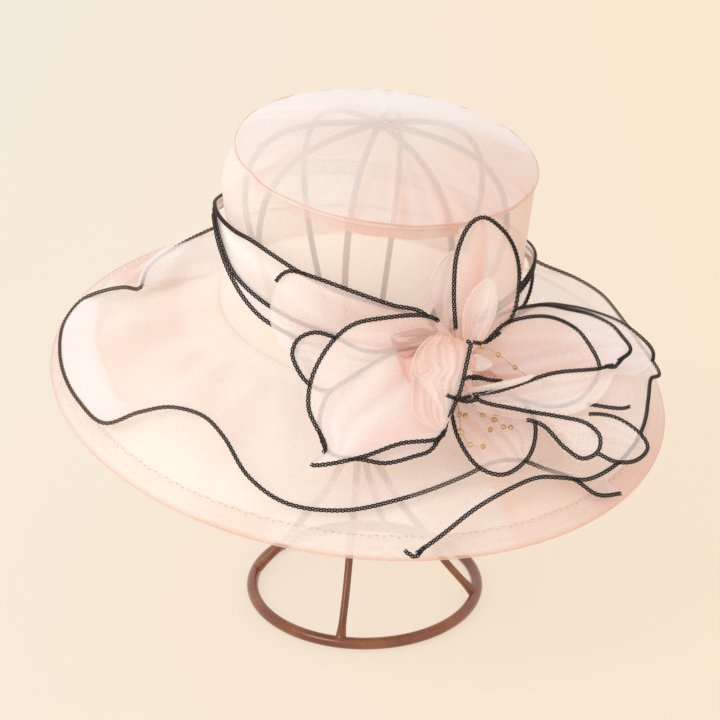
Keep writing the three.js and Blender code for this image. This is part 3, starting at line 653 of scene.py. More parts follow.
# The second layer of the brim, from the facing's edge outwards
def brim_facing():
    turns = full_turn(300)
    radii = np.linspace(FACING_RADIUS, BRIM_RADIUS - 2, 16)[:, None]
    grid = brim_surface(turns, radii)
    grid[..., 2] += waves(np.radians(turns), 6, 5, 25, 24, True) * 0.15 - 0.9
    edge = 0.9 * np.exp(-(radii - FACING_RADIUS) / 1.2)
    return cloth_sheet("brim_facing_cloth", grid, "facing_organza", "organza", True, edge)


def binding():
    turns = full_turn(360)
    angle = np.radians(turns)
    share, lift, dense = (column[:, None] for column in np.array(BINDING_ROWS).T)
    inner = BRIM_RADIUS - BINDING_WIDTH + waves(angle, 6, 10, 40, 31, True) * 0.25
    radius = inner + (BRIM_RADIUS - inner) * share
    pucker = waves(angle, 10, 40, 150, 32, True) * 0.12 * np.sin(math.pi * share)
    grid = polar(turns, radius, brim_height(radius) + lift + pucker)
    dense = dense + 0.4 * bell(around(turns), 66, 30)
    return cloth_sheet("brim_binding_cloth", grid, "binding_organza", "rose_organza", True, dense)


# Stitches along the inner edge of the binding
def stitches():
    ends, rises = np.array([-0.22, 0, 0.22]), np.array([0.9, 1.35, 0.9])
    parts = []
    for turn in np.arange(0, 360, STITCH_STEP):
        radius = BRIM_RADIUS - BINDING_WIDTH + 1.4 + 0.5 * math.sin(turn * 2.1)
        parts.append(rod_parts(polar(turn + ends, radius, brim_height(radius) + rises), THREAD_RADIUS, 4))
    return joined_parts("brim_stitches", parts, CLOTHS["stitch_thread"])


# Rows of the binding: place between its inner edge and the brim's rim, height over the brim, density
BINDING_ROWS = [
    (0.0, 0.45, 0.34), (0.08, 0.9, 0.22), (0.2, 1.1, 0.1), (0.52, 1.15, 0.05), (0.6, 1.15, 0.34),
    (0.68, 1.12, 0.08), (0.85, 1.0, 0.12),
    (0.97, 0.5, 0.6), (1.0, -0.4, 0.9), (0.97, -1.5, 0.6), (0.85, -2.2, 0.2), (0.5, -2.4, 0.1),
    (0.1, -2.2, 0.3), (0.0, -1.9, 0.5),
]

# Ruffle: rows of the cord on its edge, as turn, radius as a share of the brim's, and height over the
# brim as a share of the ruffle's fullness
RUFFLE_ROWS = [
    [52, 1, 0.4], [47, 0.97, 0.41], [44, 0.9, 0.42], [39, 0.845, 0.44], [35, 0.805, 0.46], [29, 0.79, 0.46],
    [20, 0.815, 0.44], [7, 0.865, 0.44], [-4, 0.91, 0.47], [-14, 0.92, 0.52], [-22, 0.885, 0.58],
    [-31, 0.81, 0.66], [-38, 0.785, 0.7], [-46, 0.81, 0.68], [-51, 0.87, 0.62], [-55, 0.95, 0.56],
    [-64, 0.966, 0.56], [-82, 0.972, 0.56], [-93, 0.967, 0.58], [-99, 0.935, 0.62], [-99, 0.87, 0.7],
    [-96.5, 0.79, 0.76], [-93, 0.735, 0.78], [-104, 0.735, 0.86], [-117, 0.69, 0.88], [-130, 0.66, 0.9],
    [-147, 0.68, 0.9], [-163, 0.72, 0.86], [-180, 0.74, 0.9], [-200, 0.72, 0.9], [-218, 0.68, 0.96],
    [-237, 0.69, 1.06], [-242, 0.81, 1.2], [-247, 0.87, 1.24], [-254, 0.89, 1.12], [-262, 0.93, 0.92],
    [-269, 0.975, 0.84], [-274, 0.935, 0.84], [-282, 0.928, 0.84], [-290, 0.938, 0.84], [-298, 0.947, 0.84],
    [-307, 0.95, 0.84], [-315, 0.94, 0.84], [-320, 0.91, 0.88], [-325, 0.887, 0.88], [-332, 0.895, 0.86],
    [-340, 0.93, 0.84], [-349, 1.01, 0.84], [-351.5, 1.035, 0.84],
]


def ruffle_edge(shares):
    rows = np.array([[turn, radius * 100, lift * 10] for turn, radius, lift in RUFFLE_ROWS])
    line = smooth_line(rows, shares)
    return line[..., 0], line[..., 1] / 100 * BRIM_RADIUS, line[..., 2] / 10 * RUFFLE_LIFT


# The ruffle's last lap lies over its first. What would lie double under it is left clear by hidden
def ruffle():
    shares = np.linspace(0, 1, 641)
    turn, radius, lift = ruffle_edge(shares)
    first, last = RUFFLE_ROWS[0][0], RUFFLE_ROWS[-1][0]
    even = first + (last - first) * shares
    inner_turn = even + (turn - even) * RUFFLE_FOLLOW
    laps = np.clip((first - turn - 180) / 180, 0, 1)
    inner_radius = CROWN_RADIUS + CLOTH
    inner_lift = HALF_CLOTH + laps * RUFFLE_GAP * 0.5
    v = np.linspace(0, 1, 25)[:, None]
    mid = np.sin(math.pi * v)
    grid_turn = inner_turn + (turn - inner_turn) * v
    grid_radius = inner_radius + (radius - inner_radius) * v
    along = np.radians(even)
    swings = waves(along, 9, 5, 26, 41)
    billow = swings * 1.3 * mid * fade(v, 0.1, 0.5)
    grid_lift = np.maximum(inner_lift + (lift - inner_lift) * v + billow - SEAT * mid**0.8, 1.1)
    grid = polar(grid_turn, grid_radius, brim_height(grid_radius) + grid_lift)
    pleats = np.clip(waves(along, 12, 20, 90, 42), 0, 2) * 0.2 * np.exp(-v / 0.2)
    share = grid_radius / BRIM_RADIUS
    standing = fade(grid_turn, -108, -98) * (1 - fade(grid_turn, -62, -48))
    folds = np.clip(swings, 0, 2) * 0.1 * mid * (1 - 0.6 * standing)
    veil = 0.75 * standing * fade(share, 0.845, 0.875)
    crease = 0.3 * standing * bell(share, 0.862, 0.007)
    inner = 0.08 * standing * (1 - fade(share, 0.86, 0.87))
    over = fade(-grid_turn, 314, 322) * (1 - fade(v, 0.86, 1.0))
    shown = fade(v, 0.0, 0.3) * (1 - over)
    hidden = 0.85 * (1 - shown)
    gather = (0.04 + pleats + folds + crease + inner) * shown - hidden
    return cloth_sheet(
        "ruffle_cloth", grid, "ruffle_organza", "organza", False, gather, veil * shown - hidden,
        "gathered", ["brim"],
    )


# Folds of the ruffle on its left: name, turns from and to, radii as shares of the brim's from and to,
# heights over the brim, gather and veil
RUFFLE_FOLDS = [
    ("cover", -91, -124, 0.62, 0.757, 12.0, 16.4, 0.3, 0.85),
    ("wedge", -101, -122, 0.765, 0.905, 11.0, 4.0, 0.85, 0.0),
]


def ruffle_fold(name, first, last, inner, outer, low, high, gather, veil):
    along = np.linspace(0, 1, 41)
    turns = first + (last - first) * along
    v = np.linspace(0, 1, 15)[:, None]
    ends = np.sin(math.pi * along) ** 0.5
    soft = np.sin(math.pi * v) ** 0.5 * ends
    if name == "cover":
        outer = outer - 0.035 * along
        soft = fade(v, 0.0, 0.45) * ends
    radius = (inner + (outer - inner) * v) * BRIM_RADIUS + (1 - ends) * (0.5 - v) * 10
    lift = low + (high - low) * v + waves(along * 6, 3, 0.6, 2, 71) * 0.8 * np.sin(math.pi * v)
    grid = polar(turns, radius, brim_height(radius) + lift)
    shades = (gather * soft, veil * soft)
    return cloth_sheet(f"ruffle_fold_{name}", grid, "fold_organza", "organza", False, *shades)


def ruffle_cord():
    turn, radius, lift = ruffle_edge(np.linspace(0, 1, 2400))
    line = polar(turn, radius, brim_height(radius) + lift)
    return joined_parts("ruffle_cord_braid", braid_parts(line, polar(turn, 0.35, 1.0)), BRAID)


# Sash: turn, heights of the upper, middle and lower cord as shares of the crown's height, stand-off
SASH_ROWS = [
    [26, 0.42, 0.36, 0.15, 0.1], [45, 0.43, 0.39, 0.2, 0.1], [58, 0.46, 0.42, 0.24, 0.2],
    [70, 0.5, 0.46, 0.31, 0.4], [82, 0.5, 0.46, 0.36, 0.3], [95, 0.46, 0.42, 0.36, 0.1],
    [110, 0.4, 0.36, 0.32, 0.1], [145, 0.42, 0.38, 0.34, 0.2], [185, 0.48, 0.44, 0.4, 0.3],
    [225, 0.52, 0.48, 0.44, 0.1], [255, 0.54, 0.5, 0.46, 0.3], [266, 0.57, 0.53, 0.49, 0.9],
    [277, 0.61, 0.57, 0.53, 0.9], [290, 0.64, 0.5, 0.46, 0.8], [300, 0.66, 0.42, 0.38, 0.7],
    [309, 0.68, 0.385, 0.31, 0.6], [318, 0.67, 0.36, 0.26, 0.5], [330, 0.63, 0.33, 0.23, 0.3],
    [344, 0.58, 0.31, 0.2, 0.2], [364, 0.52, 0.28, 0.17, 0.1], [382, 0.43, 0.26, 0.13, 0.1],
]


def sash_rows(shares):
    rows = np.array(SASH_ROWS)
    turns = rows[0, 0] + (rows[-1, 0] - rows[0, 0]) * np.asarray(shares)
    low = np.clip(np.searchsorted(rows[:, 0], turns, side="right") - 1, 0, len(rows) - 2)
    t = ((turns - rows[low, 0]) / (rows[low + 1, 0] - rows[low, 0]))[:, None]
    a, b, c, d = (rows[np.clip(low + k, 0, len(rows) - 1)] for k in (-1, 0, 1, 2))
    mixed = 0.5 * (2 * b + (c - a) * t + (2 * a - 5 * b + 4 * c - d) * t**2 + (3 * b - a - 3 * c + d) * t**3)
    mixed[:, 0] = turns
    return mixed


def sash_radius(level, rows):
    return crown_radius(level) + GAP + HALF_CLOTH + rows[:, 4] * SASH_LIFT


def sash():
    rows = sash_rows(np.linspace(0, 1, 361))
    v = np.linspace(0, 1, 17)[:, None]
    mid = np.sin(math.pi * v)
    level = (rows[:, 1] + (rows[:, 3] - rows[:, 1]) * v) * CROWN_HEIGHT
    wide = (rows[:, 1] - rows[:, 3]) * CROWN_HEIGHT / 40
    swings = waves(v * 9 + np.radians(rows[:, 0]) * 1.3, 4, 0.6, 1.6, 51)
    radius = sash_radius(level, rows) + swings * 1.1 * wide * mid + SEAT * 0.8 * (1 - mid**0.5)
    grid = polar(rows[:, 0], radius, level)
    dense = 0.1 + 0.16 * np.clip(swings, -0.5, 2)
    # Whiter on the left: painted light on the lit side
    left = 0.9 * bell(rows[:, 0], 296, 24)
    return cloth_sheet(
        "sash_cloth", grid, "sash_organza", "rose_organza", False, dense, left, "folded", ["crown_side"]
    )


def sash_cord(name, column):
    rows = sash_rows(np.linspace(0, 1, 1400))
    level = rows[:, column] * CROWN_HEIGHT
    line = polar(rows[:, 0], sash_radius(level, rows) + SEAT, level)
    return joined_parts(name, braid_parts(line, polar(rows[:, 0], 1.0, 0.2)), BRAID)


# Flower: the petals, each with the outline's tip row, the cords' first and last row, how cupped it is,
# and the outline's rows as turn, place along the cloth and lift as a share of the flower's
PETALS = {
    "upright": (5, [(1, 9.7)], 0, [
        [24, -0.15, 0.32], [22.5, -0.35, 0.34], [20, -0.6, 0.38], [19, -0.86, 0.42], [21.5, -1.02, 0.44],
        [25, -1.05, 0.44], [32.5, -0.94, 0.44], [39, -0.76, 0.42], [42, -0.58, 0.4], [41.5, -0.36, 0.38],
        [34, -0.23, 0.36], [28, -0.14, 0.34]]),
    "upright_back": (5, [], 0, [
        [23, -0.14, 0.2], [19, -0.42, 0.21], [14, -0.6, 0.23], [14.5, -0.73, 0.26], [17, -0.83, 0.28],
        [21, -0.86, 0.28], [27, -0.77, 0.27], [31, -0.5, 0.24], [29, -0.3, 0.22], [26, -0.14, 0.2]]),
    "left_upper": (6, [(0, 6)], 0, [
        [23, -0.17, 0.2], [13.5, -0.47, 0.2], [3.5, -0.52, 0.21], [-7, -0.57, 0.23], [-20, -0.61, 0.25],
        [-29, -0.6, 0.26], [-33, -0.5, 0.27], [-33.5, -0.32, 0.28], [-31.5, -0.19, 0.27],
        [-25, -0.08, 0.24], [-10, -0.15, 0.21], [23, -0.12, 0.2]]),
    "left_small": (6, [(1, 10)], 0, [
        [23, -0.15, 0.28], [12, -0.24, 0.29], [-3, -0.21, 0.31], [-11, -0.26, 0.33], [-17.5, -0.27, 0.35],
        [-22, -0.2, 0.36], [-23, -0.1, 0.36], [-20, 0, 0.36], [-16.5, 0.06, 0.35], [-11.5, 0.08, 0.34],
        [-2, -0.06, 0.31], [23, -0.12, 0.28]]),
    "left_under": (7, [(1, 13)], 0, [
        [23, -0.16, 0.38], [11.5, -0.24, 0.38], [4.5, -0.21, 0.39], [-6, -0.03, 0.42], [-10.5, 0.08, 0.44],
        [-11.5, 0.19, 0.45], [-10.5, 0.32, 0.46], [-7.5, 0.42, 0.48], [-1, 0.43, 0.5], [3, 0.44, 0.5],
        [9, 0.4, 0.48], [12.5, 0.37, 0.47], [17, 0.23, 0.44], [21, 0.06, 0.4], [23, -0.08, 0.38]]),
    "left_front": (9, [(1, 8.2), (9, 14.6)], 3, [
        [23.5, -0.21, 0.48], [15.5, -0.42, 0.48], [10.5, -0.46, 0.49], [0, -0.43, 0.5], [-7, -0.37, 0.52],
        [-12, -0.23, 0.54], [-15, -0.01, 0.56], [-14, 0.18, 0.58], [-8.5, 0.39, 0.62], [-10.5, 0.48, 0.64],
        [-2, 0.41, 0.62], [6, 0.32, 0.6], [14.5, 0.29, 0.58], [16.5, 0.21, 0.56], [20, 0.06, 0.5],
        [24, -0.12, 0.43], [24, -0.17, 0.43]]),
    "right_back": (7, [(2, 7.4)], 0, [
        [25, -0.13, 0.24], [35, -0.2, 0.18], [42.5, -0.29, 0.18], [60.5, -0.29, 0.24], [87, 0.06, 0.36],
        [90.5, 0.3, 0.52], [87, 0.4, 0.62], [82, 0.46, 0.69], [72.5, 0.43, 0.64], [65.5, 0.31, 0.48],
        [56, 0.2, 0.3], [41, -0.03, 0.18], [25, -0.09, 0.24]]),
    "right_tail": (1, [(0, 1)], 0, [
        [54.5, 0.37, 0.46], [62.5, 0.5, 0.58], [70, 0.42, 0.56], [65, 0.31, 0.41]]),
    "right_long": (7, [(1, 7.8)], 0, [
        [26, -0.14, 0.28], [38, -0.37, 0.275], [55, -0.33, 0.34], [70, -0.14, 0.46], [79, 0.04, 0.56],
        [80.5, 0.17, 0.64], [77.5, 0.23, 0.7], [73, 0.26, 0.78], [63.5, 0.22, 0.78], [54.5, 0.29, 0.66],
        [46.5, 0.28, 0.5], [38, 0.15, 0.38], [26, -0.1, 0.29]]),
    "right_inner": (5, [(1, 9)], 0, [
        [26, -0.15, 0.42], [31, -0.24, 0.44], [37.5, -0.33, 0.46], [51.5, -0.27, 0.54], [62.5, -0.04, 0.66],
        [60, 0.15, 0.76], [57, 0.21, 0.74], [50, 0.28, 0.64], [44, 0.27, 0.54], [35, 0.13, 0.46],
        [26, -0.09, 0.4]]),
    "right_veil": (5, [(1, 5)], 0, [
        [23.4, -0.08, 0.59], [22.2, 0.05, 0.57], [28.5, 0.07, 0.6], [44, 0.05, 0.76], [55.5, 0.14, 0.88],
        [60.5, 0.19, 0.88], [53.5, 0.3, 0.78], [42.5, 0.31, 0.66], [33.5, 0.19, 0.59], [20.5, 0.09, 0.58],
        [21.7, -0.06, 0.59]]),
    "right_lower": (5, [(1, 9.4)], 0, [
        [23.4, -0.06, 0.66], [23.2, 0.07, 0.67], [32.5, 0.19, 0.7], [40.5, 0.29, 0.74], [45.5, 0.38, 0.76],
        [46.5, 0.47, 0.76], [44, 0.54, 0.74], [40.5, 0.54, 0.72], [38.5, 0.46, 0.7], [36, 0.3, 0.7],
        [28.6, 0.21, 0.68], [21.3, 0.12, 0.66], [22.4, -0.05, 0.66]]),
    "round": (6, [(1, 10.5)], 0, [
        [25, -0.1, 0.26], [27, -0.02, 0.23], [33.5, 0.02, 0.24], [40, 0.15, 0.28], [40.5, 0.31, 0.34],
        [36.5, 0.43, 0.4], [32, 0.51, 0.42], [26, 0.55, 0.42], [22, 0.49, 0.4], [20, 0.33, 0.34],
        [20.5, 0.2, 0.28], [22, -0.08, 0.26]]),
    "right_far": (4, [(1, 7)], 0, [
        [38, 0.33, 0.68], [50, 0.38, 0.61], [57, 0.5, 0.56], [59.5, 0.65, 0.54], [58.5, 0.72, 0.54],
        [54, 0.73, 0.54], [49, 0.67, 0.56], [46, 0.58, 0.59], [39.5, 0.43, 0.69]]),
    "heart_left": (3, [], 3, [
        [23, -0.16, 0.56], [14.5, -0.31, 0.6], [11.5, -0.24, 0.64], [9, -0.14, 0.66], [11, -0.05, 0.66],
        [16, -0.06, 0.62], [23, -0.12, 0.58]]),
    "heart_front": (3, [], 3, [
        [23, -0.16, 0.66], [16.5, -0.3, 0.72], [13.5, -0.24, 0.76], [12, -0.11, 0.76], [14.5, 0.02, 0.74],
        [19, 0.03, 0.7], [24, -0.1, 0.66]]),
    "heart_right": (3, [], 1, [
        [23, -0.14, 0.56], [25.5, -0.18, 0.58], [28, -0.15, 0.6], [30, -0.1, 0.6], [27, -0.07, 0.58],
        [23, -0.1, 0.56]]),
    "heart_up": (3, [], 2, [
        [24, -0.17, 0.48], [22, -0.49, 0.52], [24, -0.61, 0.54], [28.5, -0.66, 0.54], [32, -0.5, 0.52],
        [31, -0.35, 0.5], [26, -0.17, 0.48]]),
}


def unrolled(rows):
    return np.array(rows, float) * [math.radians(UNROLL_RADIUS), BRIM_WIDTH, FLOWER_LIFT]


def draped(flat):
    return drape(np.degrees(flat[..., 0] / UNROLL_RADIUS), flat[..., 1] / BRIM_WIDTH, flat[..., 2])


def petal_sheet(name, tip, cup, rows, seed, shades, pleated, cloth="petal_organza"):
    flat = unrolled(rows)
    last = len(rows) - 1
    base, whole, place, strength = shades
    v = np.linspace(0, 1, 45)[:, None]
    u = np.linspace(0, 1, 29)
    one = smooth_line(flat, v * 0.995 * tip / last)
    two = smooth_line(flat, (last - v * 0.995 * (last - tip)) / last)
    grid = one + (two - one) * u[:, None]
    inside = np.sin(math.pi * u) ** 0.7
    root = np.exp(-v / 0.3)
    depth = np.minimum(np.linalg.norm(two - one, axis=-1) * 0.035, 2.2)
    pleats = waves(u * math.pi * 2, 7, 1.2, 5.5, seed)
    sway = waves(v * math.pi, 3, 0.7, 2.2, seed + 50) * waves(u * math.pi, 3, 0.6, 2, seed + 90)
    grid[..., 2] += cup * 2.4 * u * (1 - u) * np.sin(math.pi * v) - SEAT * inside * fade(v, 0.0, 0.15)
    grid[..., 2] += inside * (pleats * depth * (0.45 + root) + sway * 1.3)
    # Pinker on the pleats' ridges and whiter in their troughs: painted shade and painted highlight along the
    # folds, over the denser gathered cloth at the root
    ridge = np.clip(pleats, -0.3, 2)
    dense = base + (0.2 + pleated) * np.exp(-v / 0.22) + pleated * ridge * root + 0.07 * ridge
    dense = dense + strength * bell(u, place, 0.13) * (1 - 0.6 * v)
    veil = whole * fade(v, 0.2, 0.5) * (0.7 + 0.3 * inside) + 0.1 * np.clip(-pleats, 0, 1)
    gather = np.clip(dense + 0.12 * (1 - inside) * fade(v, 0.1, 0.4), 0, 1)
    return cloth_sheet(
        name, draped(grid), cloth, "organza", False, gather, veil, "folded", ["flower_knot"]
    )


def petal_cord(name, rows, first, final):
    last = len(rows) - 1
    flat = smooth_line(unrolled(rows), np.linspace(first / last, final / last, 500))
    line = draped(flat)
    outward = draped(flat + np.array([0, 0, 1.0])) - line
    return joined_parts(name, braid_parts(line, outward), BRAID)


# A thin rolled hem on the edge of a petal that has no cord
def petal_hem(name, rows):
    line = draped(smooth_line(unrolled(rows), np.linspace(0.06, 0.94, 120)))
    return joined_parts(name, [rod_parts(line, HEM_RADIUS, 6)], CLOTHS["hem_organza"])


# How rosy and white single petals are: gather and veil of the whole, a rosy stripe's place and strength
PLAIN = (0.0, 0.0, 0.5, 0.0)
PETAL_SHADES = {
    "upright": (0.05, 0.25, 0.3, 0.62),
    "upright_back": (0.04, 0.85, 0.5, 0.0),
    "left_upper": (0.02, 0.3, 0.7, 0.25),
    "left_small": (0.0, 0.3, 0.5, 0.0),
    "left_under": (0.0, 0.4, 0.5, 0.0),
    "left_front": (0.02, 0.34, 0.85, 0.25),
    "right_back": (0.0, 0.25, 0.5, 0.0),
    "right_long": (0.0, 0.3, 0.5, 0.0),
    "right_inner": (0.14, 0.0, 0.6, 0.15),
    "right_veil": (0.0, 0.35, 0.5, 0.0),
    "round": (0.1, 0.0, 0.4, 0.1),
    "heart_up": (0.0, 0.4, 0.5, 0.0),
    "heart_right": (0.0, 0.6, 0.5, 0.0),
}

# Thin folds in the flower's middle: the outline's tip row, cup, gather, veil and outline
FOLDS = {
    "warm": (4, 0, 0.45, 0.0, [
        [11.4, -0.27, 0.6], [8, -0.24, 0.6], [4.8, -0.22, 0.6], [6.1, -0.13, 0.6], [8.5, -0.03, 0.6],
        [9.3, -0.14, 0.6], [9.5, -0.22, 0.6]]),
    "peach": (3, 1, 0.26, 0.0, [
        [17, -0.23, 0.68], [17.8, -0.01, 0.72], [16.1, 0.13, 0.7], [14.8, 0.24, 0.66], [11, 0.21, 0.68],
        [8.8, 0.13, 0.7], [8.6, 0.01, 0.72], [8.9, -0.11, 0.74], [12.3, -0.21, 0.72]]),
    "rolled": (5, 2, 0.3, 0.0, [
        [14.4, -0.36, 0.76], [10.7, -0.31, 0.84], [10.2, -0.25, 0.84], [10.5, -0.18, 0.84],
        [12, -0.12, 0.84], [9.5, -0.08, 0.84], [7.8, -0.15, 0.84], [8.2, -0.24, 0.84], [10.5, -0.32, 0.82],
        [13.1, -0.36, 0.76]]),
    "heart": (5, 4, 0.2, 0.1, [
        [17.6, -0.32, 0.8], [20.6, -0.27, 0.84], [19.9, -0.15, 0.86], [18.7, -0.03, 0.86], [17, 0.09, 0.82],
        [15.3, 0.2, 0.72], [13.7, 0.11, 0.8], [11.4, 0.01, 0.86], [9.3, -0.08, 0.88], [11.5, -0.12, 0.88],
        [10, -0.19, 0.88], [9.7, -0.26, 0.88], [12.5, -0.35, 0.82]]),
    "white": (5, 1, 0.01, 0.9, [
        [19.3, 0.07, 0.64], [21.7, 0.04, 0.65], [24, 0.02, 0.66], [28.9, 0.01, 0.7], [33.7, 0.01, 0.74],
        [38.5, 0.01, 0.8], [38, 0.04, 0.72], [34.2, 0.05, 0.68], [29.4, 0.06, 0.62], [24.4, 0.08, 0.58]]),
}

# Shadowed folds behind them, in the same columns
FOLD_SHADES = {
    "upper": (3, 0, 0.0, 0.0, [
        [15.3, -0.34, 0.54], [11.6, -0.38, 0.54], [6.5, -0.36, 0.54], [3, -0.32, 0.54], [4.9, -0.24, 0.55],
        [8.1, -0.25, 0.56], [11.8, -0.29, 0.56]]),
    "left": (2, 0, 0.4, 0.0, [
        [10.8, -0.27, 0.58], [7.7, -0.26, 0.58], [4.8, -0.23, 0.58], [6.5, -0.19, 0.58], [9.2, -0.2, 0.58]]),
    "right": (2, 0, 0.0, 0.0, [
        [27.9, -0.09, 0.48], [30.3, -0.08, 0.48], [33, 0.01, 0.48], [30.4, 0, 0.48], [28.3, -0.04, 0.48]]),
}

# Cord ends and edges in the flower's middle
HEART_CORDS = {
    "edge": [
        [16, 0.17, 0.74], [16.8, 0.09, 0.84], [17.9, 0.02, 0.88], [18.8, -0.06, 0.9], [19.5, -0.15, 0.9],
        [20.3, -0.24, 0.88], [20.6, -0.28, 0.86], [19.7, -0.3, 0.84]],
    "stub": [[21, -0.05, 0.68], [24.4, -0.05, 0.66], [28.3, -0.01, 0.62], [32.7, 0.02, 0.58]],
    "cross_upper": [[18.6, 0.06, 0.72], [20.1, 0.07, 0.68], [22.2, 0.07, 0.64], [24.9, 0.08, 0.62]],
    "cross_lower": [
        [14.7, 0.02, 0.92], [16.3, 0.04, 0.88], [18.7, 0.07, 0.76], [21, 0.09, 0.7], [23.3, 0.09, 0.69]],
    "long_join": [[68.5, 0.24, 0.78], [64.2, 0.23, 0.79], [60.9, 0.2, 0.86], [57.6, 0.15, 0.89]],
    "front_tail": [[9.8, 0.89, 0.28], [8.2, 0.94, 0.28], [6.5, 0.91, 0.28]],
    "doubled": [[15.1, 0.24, 0.68], [13.9, 0.28, 0.66], [12.2, 0.31, 0.64]],
    "root_right": [[25.4, -0.26, 0.52], [29.7, -0.24, 0.48], [33, -0.26, 0.46], [35.8, -0.28, 0.44]],
}


def flower_knot():
    foot_height = KNOT_FOOT * CROWN_HEIGHT
    foot = polar(KNOT_TURN, crown_radius(foot_height) + GAP, foot_height)
    axis = drape(KNOT_TURN, KNOT_ALONG, KNOT_LIFT * FLOWER_LIFT * 1.45) - foot
    reach = np.linalg.norm(axis)
    axis /= reach
    side = np.cross(axis, [0, 0, 1.0])
    side /= np.linalg.norm(side)
    over = np.cross(side, axis)
    v = np.linspace(0.0, 1, 41)[:, None]
    angle = np.radians(full_turn(96))
    swings = waves(angle + v * 1.2, 9, 5, 17, 61, True)
    mid = np.sin(math.pi * v)
    radius = KNOT_RADIUS * mid**0.75 * (0.55 + 0.2 * v) * (1 + 0.14 * swings * mid)
    spine = foot + axis * (reach * v)[..., None]
    grid = spine + (radius * np.cos(angle))[..., None] * side + (radius * np.sin(angle))[..., None] * over
    dense = np.clip(0.6 + 0.3 * swings, 0, 1)
    return cloth_sheet("flower_knot_cloth", grid, "petal_organza", "rose_organza", True, dense)


# Pearl threads: rows of each thread from the knot, with a pearl on all but the first, and loose pearls
STAMENS = [
    [[24, -0.14, 0.52], [28.8, -0.22, 0.5], [34, -0.14, 0.5], [38.3, -0.03, 0.53], [42.1, 0.07, 0.55],
     [45.1, 0.12, 0.56]],
    [[24, -0.08, 0.4], [25.4, 0.16, 0.42], [26.7, 0.21, 0.43], [29.2, 0.25, 0.44], [30.5, 0.3, 0.44],
     [31.9, 0.31, 0.46]],
    [[23, -0.08, 0.36], [21.2, 0.19, 0.4], [20.4, 0.29, 0.43], [21.3, 0.36, 0.46], [23.9, 0.38, 0.46]],
]
LOOSE_PEARLS = [
    [[46.5, 0.14, 0.58], [17.2, 0.01, 0.74], [14.9, -0.07, 0.82], [13.9, -0.16, 0.82]],
    [[29.1, 0.25, 0.42], [30.9, 0.22, 0.42], [30.4, 0.22, 0.4], [27.1, 0.3, 0.44], [26.5, 0.21, 0.44]],
    [[20, 0.28, 0.44], [22.7, 0.2, 0.4], [24.9, 0.15, 0.44]],
]


def ball_parts(centre, radius):
    across, down = 16, 10
    angle = np.radians(full_turn(across))
    rise = np.linspace(-math.pi / 2, math.pi / 2, down + 1)[1:-1][:, None]
    axes = np.cos(rise) * np.cos(angle), np.cos(rise) * np.sin(angle), np.sin(rise)
    rounds = np.stack(np.broadcast_arrays(*axes), axis=-1).reshape(-1, 3)
    points = centre + radius * np.vstack([rounds, [0, 0, -1], [0, 0, 1]])
    faces = grid_faces(down - 2, across, True).tolist()
    low, high, top = len(rounds), len(rounds) + 1, (down - 2) * across
    for i in range(across):
        after = (i + 1) % across
        faces += [[after, i, low], [top + i, top + after, high]]
    return points, faces


def stamen(name, rows, loose):
    line = draped(smooth_line(unrolled(rows), np.linspace(0, 1, 90)))
    parts = [rod_parts(line, THREAD_RADIUS, 5)]
    parts += [ball_parts(place, PEARL_RADIUS) for place in draped(unrolled(rows[1:] + loose))]
    return joined_parts(name, parts, PEARL_SHELL)


# Stand: rows of radius and height as shares of the balloon's, and of the ring's and the neck's
RIB_ROWS = [
    (0.07, 0), (0.35, 0.18), (0.63, 0.37), (0.88, 0.55), (1, 0.72), (0.95, 0.84), (0.78, 0.92),
    (0.5, 0.968), (0, 1),
]
LEG_ROWS = [(0.05, 1), (0.2, 0.81), (0.34, 0.63), (0.5, 0.485), (0.72, 0.26), (1, 0.035)]


def stand():
    shift = np.array([RING_OFFSET, 0, 0])
    ring = polar(full_turn(160), RING_RADIUS, RING_WIRE / 2) + shift
    parts = [rod_parts(ring, RING_WIRE / 2, 20, True)]
    for turn in FIRST_RIB + full_turn(RIBS):
        rows = [on_balloon(polar(turn, r * BALLOON_RADIUS, h * BALLOON_HEIGHT)) for r, h in RIB_ROWS]
        parts.append(rod_parts(smooth_line(rows, np.linspace(0, 1, 72)), RIB_WIRE / 2, 12))
    swell = LEG_WIRE / 2 * (1 + 0.5 * bell(np.linspace(1, 0, 48) * NECK_HEIGHT, 0, 5))
    for turn in FIRST_RIB + full_turn(LEGS):
        rows = [polar(turn, r * RING_RADIUS, h * NECK_HEIGHT) + shift * (1 - h) for r, h in LEG_ROWS]
        parts.append(rod_parts(smooth_line(rows, np.linspace(0, 1, 48)), swell, 12))
    half, slim = NECK_LENGTH / 2, NECK_RADIUS - COLLAR_EDGE
    rises = np.array([-half, COLLAR_EDGE - half, half - COLLAR_EDGE, half])
    collar = np.stack([np.zeros(4), np.zeros(4), NECK_HEIGHT + rises], axis=1)
    parts.append(rod_parts(collar, np.array([slim, NECK_RADIUS, NECK_RADIUS, slim]), 24))
    cap = on_balloon([0, 0, BALLOON_HEIGHT - RIB_WIRE / 2])
    points, faces = ball_parts(np.zeros(3), CAP_RADIUS)
    parts.append((points * np.array([1, 1, 0.7]) + cap, faces))
    return joined_parts("stand_wire", parts, BRONZE, lambda points: points)


# Camera, floor and light
def camera():
    data = bpy.data.cameras.new("camera")
    data.lens = 100
    data.sensor_width = 36
    made = bpy.data.objects.new("camera", data)
    made.location = to_world(CAMERA_PLACE)
    made.rotation_euler = (math.radians(90 - CAMERA_DOWN), 0, 0)
    bpy.context.scene.collection.objects.link(made)
    bpy.context.scene.camera = made


